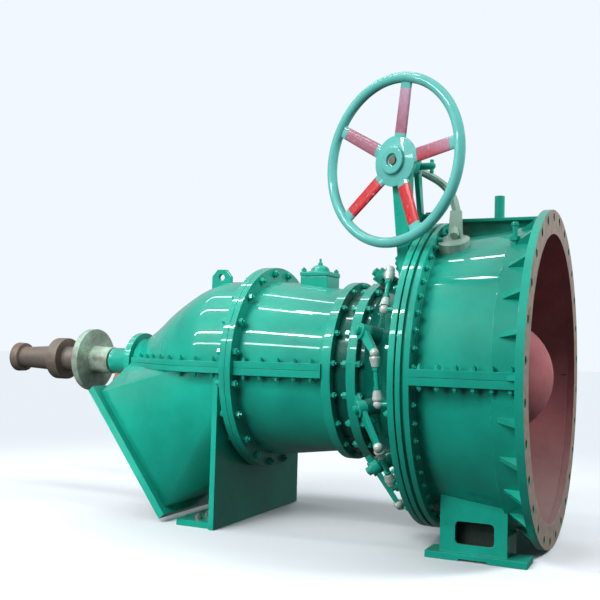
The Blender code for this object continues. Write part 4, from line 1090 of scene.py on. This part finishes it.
class TURBINE_OT_elbow(bpy.types.Operator):
    """The draft elbow: a round hood above, the slanted rectangular body below, and its flanges"""
    bl_idname = "turbine.elbow"
    bl_label = "Draft elbow"

    def execute(self, context):
        paints = ["green_enamel", "brown_primer"]
        edge_line = [(1.110, BODY_R + 0.042)] + [(s, min(r, BODY_R) + 0.042) for s, r in smooth_hood() if s < 1.7]
        edge_line += [(1.715, 0.120)]
        upper = bmesh.new()
        turned(upper, [(1.105, 0.398), (1.129, 0.398), (1.129, 0.342), *hood_profile(0.0)[1:],
                       (1.7217, 0.0465), (1.690, 0.0465), *reversed(hood_profile(WALL)[:-5]), (1.105, BODY_R - WALL)],
               arc=(0.02, 179.98), steps=200, edge=0.002)
        outline = [(INLET_X - s, r) for s, r in edge_line]
        for shape_side, low, high in ((1, 0.00015, 0.022), (-1, -0.022, -0.00015)):
            shape = upper if shape_side > 0 else elbow_lower_shape()
            for side in (-1, 1):
                inner = [(INLET_X - s, min(r, BODY_R) - 0.006) for s, r in smooth_hood() if s < 1.7]
                back = list(reversed(inner + [(INLET_X - 1.715, 0.095)]))
                band = outline + back + [(INLET_X - 1.110, BODY_R - 0.006)]
                slab(shape, [(x, side * y) for x, y in band], ON_AXIS, low, high, 0.002)
            if shape_side < 0:
                turned(shape, [(1.105, 0.398), (1.129, 0.398), (1.129, 0.332), (1.105, 0.332)],
                       arc=(180.02, 359.98), steps=200)
            else:
                line_passage(shape, lambda station: hood_inner(station) + 0.003)
            name = "elbow_upper" if shape_side > 0 else "elbow_lower"
            piece(name + "_shell", shape, paints, replaces=[name], sharp=24.0)
        length, ahead, out = outlet_directions()
        centre = at(OUTLET_TOP[0], 0, OUTLET_TOP[1]) + ahead * length / 2 - out * OUTLET_T / 2
        rim = bmesh.new()
        side_way = Vector((0, 1, 0))
        place = frame_of(ahead, side_way, ahead.cross(side_way), centre)
        reach, wide = length / 2, OUTLET_HALF_WIDTH
        inset = OUTLET_LIP + WALL
        outer = [(-reach, -wide), (reach, -wide), (reach, wide), (-reach, wide)]
        inner = [(math.copysign(abs(x) - inset, x), math.copysign(abs(y) - inset, y)) for x, y in outer]
        for n in range(4):
            m = (n + 1) % 4
            slab(rim, [outer[n], outer[m], inner[m], inner[n]], place, -OUTLET_T / 2, OUTLET_T / 2, 0.0018)
        piece("outlet_rim", rim, ["green_enamel"], replaces=["outlet_flange"])
        across, small = sizes().large_bolt, sizes().small_bolt
        bolts = [bolt_circle(20, 0.375, 9.0, 18.0, 1.129, 0.0, across)]
        spots = [(1.175, 0.363), (1.250, 0.363), (1.325, 0.349), (1.395, 0.320), (1.460, 0.284), (1.525, 0.240),
                 (1.590, 0.189), (1.650, 0.146)]
        for side in (-1, 1):
            for facing in (-1, 1):
                bolts += [bolt_line(1, at(s, side * y, facing * 0.022), at(s, side * y, facing * 0.022),
                                    (0, 0, facing), small) for s, y in spots]
        piece("elbow_bolts", gathered(bolts), ["green_enamel"])
        return {"FINISHED"}


def hood_inner(station):
    """The hood's inner radius at a station."""
    line = hood_profile(WALL)
    for (s0, r0), (s1, r1) in zip(line, line[1:]):
        if s0 <= station <= s1:
            return r0 + (r1 - r0) * (station - s0) / (s1 - s0)
    return BODY_R - WALL


class TURBINE_OT_supports(bpy.types.Operator):
    """The feet, the plate under the elbow and the small fittings"""
    bl_idname = "turbine.supports"
    bl_label = "Feet and fittings"

    def execute(self, context):
        for name in ("front_foot_near", "front_foot_far", "rear_support", "rear_foot", "lifting_lug"):
            dress(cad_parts[name], finish("green_enamel"), 0.0018)
        pipe = bmesh.new()
        turned(pipe, [(0, 0), (0, 0.018), (0.085, 0.018), (0.085, 0.013), (0.030, 0.013), (0.030, 0)],
               Matrix.Translation(at(0.203, 0.0, 0.5658)), steps=32, edge=0.001)
        piece("vent_stub", pipe, ["green_enamel"], replaces=["vent_pipe"])
        tap = bmesh.new()
        place = Matrix.Translation(at(0.087, -0.300, 0.4375))
        rod(tap, place @ Vector((0, 0, -0.004)), place @ Vector((0, 0, 0.074)), 0.0085, steps=24)
        turned(tap, [(0.012, 0.0), (0.012, 0.0175), (0.026, 0.0175), (0.026, 0.0)], place, steps=6, edge=0)
        turned(tap, [(0.060, 0.0), (0.060, 0.012), (0.072, 0.012), (0.072, 0.0)], place, steps=24)
        piece("bleed_tap", tap, ["green_enamel"])
        # A near-black sheet inside each front foot's window, in the gasket finish: painted shade
        shade_sheet = bmesh.new()
        for side in (-1, 1):
            block(shade_sheet, at(0.300, side * 0.2575, -AXIS_Z + 0.024), at(0.111, side * 0.2600, -0.480), edge=0.0)
        piece("foot_shadow_lining", shade_sheet, ["gasket"])
        small = sizes().small_bolt
        bolts = [bolt_line(2, at(1.250, -0.300, -AXIS_Z + 0.022), at(1.250, -0.230, -AXIS_Z + 0.022), (0, 0, 1),
                           small * 1.3),
                 bolt_line(2, at(1.250, 0.230, -AXIS_Z + 0.022), at(1.250, 0.300, -AXIS_Z + 0.022), (0, 0, 1),
                           small * 1.3)]
        piece("foot_bolts", gathered(bolts), ["dull_steel"])
        return {"FINISHED"}


def dress(obj, paint, edge):
    """Gives a CAD node its finish, with its vertices welded and, given an edge, its sharp corners eased."""
    obj.data.materials.clear()
    obj.data.materials.append(paint)
    merge = obj.modifiers.new("merge", "WELD")
    merge.merge_threshold = 0.00001
    if edge > 0:
        corner = obj.modifiers.new("edges", "BEVEL")
        corner.width = edge
        corner.segments = 2
        corner.limit_method = "ANGLE"
        corner.angle_limit = math.radians(50)
        corner.use_clamp_overlap = True


class TURBINE_OT_gland(bpy.types.Operator):
    """The gland where the shaft leaves the elbow, its sleeve and the rusty spout"""
    bl_idname = "turbine.gland"
    bl_label = "Gland"

    def execute(self, context):
        shape = bmesh.new()
        turned(shape, [(1.722, 0.0465), (1.722, 0.123), (1.751, 0.123), (1.751, 0.075), (1.765, 0.070),
                       (1.765, 0.0465)], steps=96)
        cutaway = bmesh.ops.bisect_plane(shape, geom=shape.verts[:] + shape.edges[:] + shape.faces[:],
                                         plane_co=at(0, 0, -0.090), plane_no=(0, 0, -1), clear_outer=True)
        rim = [item for item in cutaway["geom_cut"] if isinstance(item, bmesh.types.BMEdge)]
        bmesh.ops.holes_fill(shape, edges=rim, sides=0)
        piece("gland_cover", shape, ["green_enamel"], replaces=["gland_box"])
        sleeve = bmesh.new()
        turned(sleeve, [(1.7653, 0.0465), (1.7653, 0.056), (1.775, 0.058), (1.790, 0.056), (1.866, 0.055),
                        (1.870, 0.056), (1.882, 0.056), (1.882, 0.0465)], steps=64)
        piece("gland_tube", sleeve, ["green_enamel"], replaces=["gland_sleeve"])
        dress(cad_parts["drip_spout"], finish("rusty_iron"), 0.002)
        bolts = [bolt_circle(6, 0.100, 30.0, 60.0, 1.751, 0.0, sizes().small_bolt)]
        piece("gland_bolts", gathered(bolts), ["green_enamel"])
        return {"FINISHED"}


class TURBINE_OT_rotor(bpy.types.Operator):
    """The shaft with its collars and disc, the runner hub and its four blades"""
    bl_idname = "turbine.rotor"
    bl_label = "Shaft and runner"

    def execute(self, context):
        steel = "bare_steel"
        shaft = bmesh.new()
        turned(shaft, [
            (0.563, 0.0), (0.563, 0.045), (1.888, 0.045), (1.888, 0.036), (2.030, 0.036), (2.030, 0.054),
            (2.140, 0.054), (2.140, 0.092), (2.196, 0.092), (2.196, 0.056), (2.390, 0.046), (2.390, 0.064),
            (2.430, 0.066), (2.430, 0.0),
        ], steps=96, edge=0.004)
        piece("shaft", shaft, [steel], "rotor", ["main_shaft"])
        disc = bmesh.new()
        turned(disc, [(1.8886, 0.0365), (1.8886, 0.058), (1.985, 0.060), (1.985, 0.136), (2.015, 0.136),
                      (2.015, 0.0365)], steps=128, edge=0.003)
        piece("coupling_disc", disc, ["sprayed_steel"], "rotor", ["shaft_disc"])
        hub = bmesh.new()
        turned(hub, [
            (0.655, 0.0453), (0.655, 0.128), (0.700, 0.138), (0.735, 0.145), (0.905, 0.145), (0.980, 0.120),
            (1.050, 0.080), (1.080, 0.060), (1.080, 0.0453),
        ], steps=96, edge=0.006)
        piece("runner_body", hub, [steel], "rotor", ["runner_hub"])
        for number in range(BLADES):
            blade = blade_shape()
            place = Matrix.Translation(at(0.820, 0, 0)) @ Matrix.Rotation(-math.pi / 2 * number, 4, "X")
            bmesh.ops.transform(blade, matrix=place, verts=blade.verts)
            name = f"runner_blade_{number + 1}"
            piece(name + "_skin", blade, [steel], "rotor", [name])
        nuts = bolt_circle(8, 0.105, 10.0, 45.0, 2.015, 0.0, 0.022, "dull_steel")
        piece("disc_bolts", gathered([nuts]), ["dull_steel"], "rotor")
        return {"FINISHED"}


def blade_shape():
    """A twisted runner blade that reaches towards -Y, with its trunnion."""
    shape = bmesh.new()
    columns, rows = 24, 14
    skins = []
    for sign in (1, -1):
        skin = []
        for row in range(rows + 1):
            out = row / rows
            radius = 0.168 + out * (0.283 - 0.168)
            pitch = math.radians(52 - 27 * out)
            chord = 0.200 + 0.030 * out
            line = []
            for column in range(columns + 1):
                share = column / columns - 0.5
                thick = 0.0055 * math.sqrt(max(0.0, 1 - (2 * share) ** 4)) * sign
                swing = (share * chord * math.cos(pitch) - thick * math.sin(pitch)) / radius
                sweep = share * chord * math.sin(pitch) + thick * math.cos(pitch) + 0.018 * (0.25 - share * share)
                line.append(shape.verts.new((sweep, -radius * math.cos(swing), radius * math.sin(swing))))
            skin.append(line)
        skins.append(skin)
        for row in range(rows):
            for column in range(columns):
                shape.faces.new((skin[row][column], skin[row][column + 1], skin[row + 1][column + 1],
                                 skin[row + 1][column]))
    for row in (0, rows):
        one, other = skins[0][row], skins[1][row]
        for column in range(columns):
            shape.faces.new((one[column], one[column + 1], other[column + 1], other[column]))
    bmesh.ops.remove_doubles(shape, verts=shape.verts, dist=0.00005)
    bmesh.ops.recalc_face_normals(shape, faces=shape.faces)
    rod(shape, (0.0, -0.120, 0.0), (0.0, -0.178, 0.0), 0.045, 0.030, steps=40)
    return shape


def link_ends():
    """The lever's ball and the ring's ball of the first guide vane."""
    turn = math.radians(LEVER_TURN)
    lever = vane_frame(0) @ Vector((LEVER_LENGTH * math.cos(turn), LEVER_LENGTH * math.sin(turn), LEVER_HEIGHT))
    return lever, around(LINK_STATION, LINK_R, VANE_START - LINK_BACK)


def vane_shape():
    """Blade, stem, clamped lever and ball of a guide vane, about the point where its stem leaves the cone."""
    shape = bmesh.new()
    rod(shape, (0, 0, -0.060), (0, 0, 0.086), 0.015)
    turn = math.radians(25.0)
    corners = []
    for depth, half, thick in ((-0.030, 0.075, 0.009), (-0.185, 0.045, 0.006)):
        for step in range(24):
            t = 2 * math.pi * step / 24
            x, y = half * math.cos(t), thick * math.sin(t) * (1 - 0.35 * math.cos(t))
            corners.append((x * math.cos(turn) - y * math.sin(turn), x * math.sin(turn) + y * math.cos(turn), depth))
    hull(shape, corners, 0.001, tone=1)
    turn = math.radians(LEVER_TURN)
    ahead = Vector((math.cos(turn), math.sin(turn), 0.0))
    side = Vector((-ahead.y, ahead.x, 0.0))
    place = frame_of(ahead, side, Vector((0, 0, 1)), Vector((0, 0, 0)))
    end = LEVER_LENGTH - 0.006
    slab(shape, [(-0.004, -0.020), (end, -0.0115), (end + 0.004, 0.0), (end, 0.0115), (-0.004, 0.020)], place,
         LEVER_HEIGHT - 0.008, LEVER_HEIGHT + 0.008, 0.002)
    turned(shape, [(0.0405, 0), (0.0405, 0.0275), (0.072, 0.0275), (0.072, 0)], AS_IS, steps=40)
    block(shape, (-0.046, -0.013, 0.046), (-0.018, 0.013, 0.066), place, 0.002)
    nut(shape, Matrix.Translation((0, 0, 0.072)), 0.024, 0.012, 0.004)
    ball(shape, ahead * LEVER_LENGTH + Vector((0, 0, LEVER_HEIGHT)), 0.016, tone=2)
    return shape


def link_shape(length):
    """The tie rod between two balls, with a lock nut behind each end."""
    shape = bmesh.new()
    rod(shape, (0, 0, 0.014), (0, 0, length - 0.014), 0.008)
    for start, way in ((0.0, 1), (length, -1)):
        place = Matrix.Translation((0, 0, start)) @ (AS_IS if way > 0
                                                     else Matrix.Rotation(math.pi, 4, "X"))
        turned(shape, [(0.0165, 0.009), (0.010, 0.0165), (0.016, 0.0185), (0.026, 0.0165), (0.044, 0.013),
                       (0.046, 0.0)], place, steps=28, edge=0.001, tone=1)
        turned(shape, [(0.046, 0.0), (0.046, 0.0125), (0.056, 0.0125), (0.056, 0.0)], place, steps=6, edge=0)
    return shape


class TURBINE_OT_guide_gear(bpy.types.Operator):
    """The ten guide vanes with their levers, and the tie rods to the ring"""
    bl_idname = "turbine.guide_gear"
    bl_label = "Guide vanes and tie rods"

    def execute(self, context):
        lever_ball, ring_ball = link_ends()
        length = (lever_ball - ring_ball).length
        first = along(ring_ball, lever_ball)
        for number in range(VANES):
            name = f"{number + 1:02d}"
            vane = vane_shape()
            bmesh.ops.transform(vane, matrix=vane_frame(number), verts=vane.verts)
            piece("guide_lever_" + name, vane, ["green_enamel", "brown_primer",
                                                "pale_zinc"], "vane_" + name,
                  replaces=["guide_vane_" + name])
            turn = Matrix.Translation(at(0, 0, 0)) @ Matrix.Rotation(-2 * math.pi * number / VANES, 4, "X")
            tie = link_shape(length)
            bmesh.ops.transform(tie, matrix=turn @ Matrix.Translation(-at(0, 0, 0)) @ first, verts=tie.verts)
            piece("tie_rod_" + name, tie, ["green_enamel", "pale_zinc"], "link_" + name,
                  replaces=["guide_link_" + name])
        return {"FINISHED"}


class TURBINE_OT_operating_ring(bpy.types.Operator):
    """The operating ring with its balls and the fork that the crank works in"""
    bl_idname = "turbine.operating_ring"
    bl_label = "Operating ring"

    def execute(self, context):
        shape = bmesh.new()
        turned(shape, [(0.409, 0.4757), (0.409, 0.552), (0.431, 0.552), (0.431, 0.4757)], steps=224, edge=0.003)
        for number in range(VANES):
            angle = VANE_START - LINK_BACK + number * 360.0 / VANES
            rod(shape, around(0.425, LINK_R, angle), around(LINK_STATION, LINK_R, angle), 0.009, steps=24)
            rod(shape, around(0.431, LINK_R, angle), around(0.443, LINK_R, angle), 0.015, steps=6)
            ball(shape, around(LINK_STATION, LINK_R, angle), 0.016, tone=1)
        across = Vector((1, 0, 0)).cross(outward(CRANK_ANGLE))
        for sign in (-1, 1):
            hull(shape, [around(station, radius, CRANK_ANGLE) + across * sign * offset for station in (0.409, 0.431)
                         for radius in (0.535, 0.598) for offset in (0.0115, 0.024)])
        piece("ring_plate", shape, ["green_enamel", "pale_zinc"], "ring",
              replaces=["operating_ring"])
        bolts = [bolt_circle(16, 0.535, 9.5, 22.5, 0.431, 0.0, sizes().small_bolt)]
        piece("ring_bolts", gathered(bolts), ["green_enamel"], "ring")
        return {"FINISHED"}


class TURBINE_OT_handwheel(bpy.types.Operator):
    """The handwheel with its red-banded spokes, and its spindle"""
    bl_idname = "turbine.handwheel"
    bl_label = "Handwheel"

    def execute(self, context):
        place = wheel_frame()
        tube = sizes().wheel_rim
        shape = bmesh.new()
        loop = [(tube * math.sin(t), WHEEL_R + tube * math.cos(t)) for t in [math.pi * n / 10 for n in range(20)]]
        turned(shape, loop, place, steps=144, edge=0)
        turned(shape, [(-0.034, 0.0150), (-0.034, 0.080), (-0.028, 0.087), (-0.014, 0.088), (-0.012, 0.060),
                       (-0.008, 0.048), (0.001, 0.048), (0.004, 0.044), (0.004, 0.023), (-0.005, 0.022),
                       (-0.005, 0.0150)], place, steps=80, edge=0.003)
        for number in range(SPOKES):
            turn = math.radians(5.7 + 360.0 / SPOKES * number)
            ahead = Vector((math.cos(turn), math.sin(turn), 0))
            side = Vector((-ahead.y, ahead.x, 0))
            spoke_frame = place @ frame_of(ahead, side, Vector((0, 0, 1)), Vector((0, 0, 0)))
            spoke(shape, spoke_frame)
        piece("wheel", shape, ["wheel_enamel", "spoke_red"], "wheel", replaces=["handwheel"])
        axle = bmesh.new()
        rod(axle, place @ Vector((0, 0, -0.095)), place @ Vector((0, 0, 0.001)), 0.014)
        piece("wheel_axle", axle, ["dull_steel"], "wheel", ["wheel_spindle"])
        return {"FINISHED"}


def spoke(shape, place):
    """An oval spoke from the hub to the rim, its middle painted red."""
    part = bmesh.new()
    stations = (0.060, 0.094, 0.096, 0.114, 0.160, 0.200, 0.243, 0.245, 0.262, 0.282)
    rings = []
    for reach in stations:
        share = (reach - 0.060) / 0.222
        wide, lift = 0.025 - 0.003 * share, -0.023 * (1 - share)
        rings.append([part.verts.new((reach, wide * math.copysign(abs(math.cos(t)) ** 0.7, math.cos(t)),
                                      lift + 0.0078 * math.copysign(abs(math.sin(t)) ** 0.7, math.sin(t))))
                      for t in [2 * math.pi * n / 20 for n in range(20)]])
    for n, (one, other) in enumerate(zip(rings, rings[1:])):
        for a in range(20):
            face = part.faces.new((one[a], one[(a + 1) % 20], other[(a + 1) % 20], other[a]))
            face.material_index = 1 if 0.095 <= stations[n] < 0.244 else 0
    part.faces.new(rings[0])
    part.faces.new(rings[-1])
    join(shape, part, place)


class TURBINE_OT_wheel_stand(bpy.types.Operator):
    """The gearbox behind the handwheel, its column, bracket and pad, and the crank"""
    bl_idname = "turbine.wheel_stand"
    bl_label = "Wheel gearbox and stand"

    def execute(self, context):
        place = wheel_frame()
        gear = bmesh.new()
        turned(gear, [(-0.105, 0.015), (-0.105, 0.040), (-0.100, 0.045), (-0.048, 0.045), (-0.042, 0.040),
                      (-0.042, 0.015)], place, steps=64)

        def output(first, last, radius, steps=40, edge=0.002):
            rod(gear, around(first, CRANK_HEAD_R, CRANK_ANGLE), around(last, CRANK_HEAD_R, CRANK_ANGLE), radius,
                steps=steps, edge=edge)

        output(0.560, 0.4595, 0.036, edge=0.004)
        output(0.48, 0.386, 0.0125)
        handle = around(0.392, CRANK_HEAD_R, CRANK_ANGLE)
        rod(gear, handle - Vector((0, 0, 0.026)), handle + Vector((0, 0, 0.022)), 0.007)
        ball(gear, handle, 0.0135)
        piece("gear_case", gear, ["green_enamel"], replaces=["wheel_gearbox"])
        case_bolts = bolt_circle(6, 0.034, 20.0, 60.0, -0.042, 0.0, 0.010, "dull_steel", 0.0, place, 0.005)
        piece("gear_case_bolts", gathered([case_bolts]), ["dull_steel"])
        crank = bmesh.new()
        across = Vector((1, 0, 0)).cross(outward(CRANK_ANGLE))
        hull(crank, [around(station, radius, CRANK_ANGLE) + across * side for station in (0.436, 0.454)
                     for radius, width in ((CRANK_HEAD_R, 0.022), (CRANK_PIN_R, 0.014)) for side in (-width, width)],
             0.003)
        for first, last, centre_r, thick in ((0.434, 0.454, CRANK_HEAD_R, 0.026), (0.435, 0.456, CRANK_PIN_R, 0.017),
                                             (0.402, 0.445, CRANK_PIN_R, 0.0105)):
            rod(crank, around(first, centre_r, CRANK_ANGLE), around(last, centre_r, CRANK_ANGLE), thick, steps=40)
        piece("crank_arm", crank, ["green_enamel"], "crank", replaces=["ring_crank"])
        for name, paint, edge in (("wheel_column", "green_enamel", 0.003), ("bracket_pad", "faded_paint", 0.002),
                                  ("wheel_bracket", "faded_paint", 0.0)):
            dress(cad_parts[name], finish(paint), edge)
        return {"FINISHED"}


def studio_world():
    """A pale backdrop, and a dim room round the turbine that is brighter overhead, behind and at its mouth."""
    world = bpy.data.worlds.new("studio")
    world.use_nodes = True
    tree = world.node_tree
    way = node(tree, "ShaderNodeSeparateXYZ", {"Vector": node(tree, "ShaderNodeTexCoord").outputs["Generated"]})
    above = spread(tree, way.outputs["Z"], 0.05, 0.95, 0.0, 1.0)
    behind = product(tree, spread(tree, way.outputs["Y"], 0.0, 0.6), spread(tree, way.outputs["Z"], -0.05, 0.1))
    mouth = spread(tree, way.outputs["X"], 0.2, 0.9, 0.0, 0.28)
    share = sum_of(tree, sum_of(tree, above, behind, "MAXIMUM"), mouth, "MAXIMUM")
    room = blended(tree, share, (0.06, 0.066, 0.070), (0.44, 0.46, 0.48))
    seen = node(tree, "ShaderNodeLightPath").outputs["Is Camera Ray"]
    tree.links.new(blended(tree, seen, room, (0.88, 0.94, 1.0)), tree.nodes["Background"].inputs[0])
    return world


def area_lamp(name, power, size, place):
    """A lamp that shines down its place's -Z and stays out of the picture itself."""
    lamp = bpy.data.lights.new(name, "AREA")
    lamp.size = size
    lamp.energy = power
    obj = linked(name, lamp)
    obj.matrix_world = place
    obj.visible_camera = False
    return obj


class TURBINE_OT_stage(bpy.types.Operator):
    """The pale floor, the soft light and the camera"""
    bl_idname = "turbine.stage"
    bl_label = "Stage"

    def execute(self, context):
        scene = context.scene
        shape = bmesh.new()
        bmesh.ops.create_grid(shape, x_segments=1, y_segments=1, size=30.0)
        mesh = plain_mesh("floor", shape)
        mesh.materials.append(finish("pale_floor"))
        floor = linked("floor", mesh)
        floor.location = (0, 0, -0.0005)
        floor.visible_diffuse = floor.visible_glossy = False
        scene.world = studio_world()
        scene.view_settings.view_transform = "Standard"
        spared = bpy.data.collections.new("not_under_the_short_lamps")
        for name in ("intake_casing_upper_shell", "intake_casing_lower_shell"):
            spared.objects.link(bpy.data.objects[name])
        for item in spared.collection_objects:
            item.light_linking.link_state = "EXCLUDE"
        for name, rise, first, last, power in (
                ("tube_far", 103.0, -3.6, -0.42, 18.0), ("tube_far_2", 103.0, -0.36, -0.10, 2.0),
                ("tube_top", 77.0, -3.6, -0.50, 38.0), ("tube_top_2", 79.5, -0.66, -0.25, 6.0),
                ("tube_near", 43.0, -3.6, -1.03, 58.0), ("tube_near_2", 43.0, -0.95, -0.22, 18.0),
                ("tube_low", 28.0, -3.6, -1.03, 18.0), ("tube_low_2", 28.0, -0.90, -0.18, 6.0)):
            away, lengthwise = outward(rise), Vector((1, 0, 0))
            obj = area_lamp(name, power, last - first, frame_of(
                lengthwise, away.cross(lengthwise), away,
                Vector(((first + last) / 2, 0, AXIS_Z)) + away * LAMP_AWAY))
            obj.data.shape, obj.data.size_y = "RECTANGLE", TUBE_WIDTH
            if name in ("tube_near_2", "tube_low_2"):
                obj.light_linking.receiver_collection = spared
        for name, place, target, size, power in (("soft_front", (-1.6, -5.0, 1.7), (0, 0, 0.5), 2.2, 125.0),
                                                 ("soft_back", (-0.6, 5.0, 3.0), (0, 0, 0.5), 2.5, 130.0),
                                                 ("soft_low", (-1.7, -1.8, 0.12), (-0.35, -0.25, 0.0), 0.5, 3.2),
                                                 ("soft_high", (-0.3, -4.3, 3.9), (0.2, 0, 0.4), 1.8, 165.0),
                                                 ("soft_mouth", (4.2, 0.4, 3.4), (1.1, 0, 0.5), 1.2, 205.0)):
            away = (Vector(place) - Vector(target)).normalized()
            side = Vector((0, 0, 1)).cross(away).normalized()
            obj = area_lamp(name, power, size, frame_of(side, away.cross(side), away, Vector(place)))
            obj.visible_glossy = False
            if name == "soft_low":
                obj.data.spread = math.radians(50.0)
        camera = bpy.data.cameras.new("camera")
        camera.lens = 52.62
        camera.sensor_width = 36.0
        view = linked("camera", camera)
        turn, pitch, roll = math.radians(24.88), math.radians(-2.92), math.radians(1.58)
        ahead = Vector((-math.sin(turn) * math.cos(pitch), math.cos(turn) * math.cos(pitch), -math.sin(pitch)))
        right = Vector((math.cos(turn), math.sin(turn), 0.0))
        up = right.cross(ahead)
        right, up = (math.cos(roll) * right + math.sin(roll) * up, -math.sin(roll) * right + math.cos(roll) * up)
        view.matrix_world = frame_of(right, up, -ahead, Vector((1.695, -3.177, 0.686)))
        scene.camera = view
        return {"FINISHED"}


PIECES = (TURBINE_OT_intake_flange, TURBINE_OT_intake_casing, TURBINE_OT_bulb, TURBINE_OT_guide_casing,
          TURBINE_OT_runner_chamber, TURBINE_OT_elbow, TURBINE_OT_supports, TURBINE_OT_gland, TURBINE_OT_rotor,
          TURBINE_OT_guide_gear, TURBINE_OT_operating_ring, TURBINE_OT_handwheel, TURBINE_OT_wheel_stand,
          TURBINE_OT_stage)


class TURBINE_PT_panel(bpy.types.Panel):
    """The turbine's sizes, colours and pieces"""
    bl_idname = "TURBINE_PT_panel"
    bl_label = "Tubular Kaplan turbine"
    bl_space_type = "VIEW_3D"
    bl_region_type = "UI"
    bl_category = "Turbine"

    def draw(self, context):
        layout = self.layout
        for group in (context.scene.turbine_sizes, context.scene.turbine_colours):
            for label in group.__annotations__:
                layout.prop(group, label)
        for operator in PIECES:
            layout.operator(operator.bl_idname)


CLASSES = (TurbineSizes, TurbineColours, *PIECES, TURBINE_PT_panel)


def register():
    for item in CLASSES:
        bpy.utils.register_class(item)
    bpy.types.Scene.turbine_sizes = bpy.props.PointerProperty(type=TurbineSizes)
    bpy.types.Scene.turbine_colours = bpy.props.PointerProperty(type=TurbineColours)


def unregister():
    del bpy.types.Scene.turbine_sizes
    del bpy.types.Scene.turbine_colours
    for item in reversed(CLASSES):
        bpy.utils.unregister_class(item)


def main():
    register()
    for operator in PIECES:
        group, name = operator.bl_idname.split(".")
        getattr(getattr(bpy.ops, group), name)()


if __name__ == "__main__":
    main()
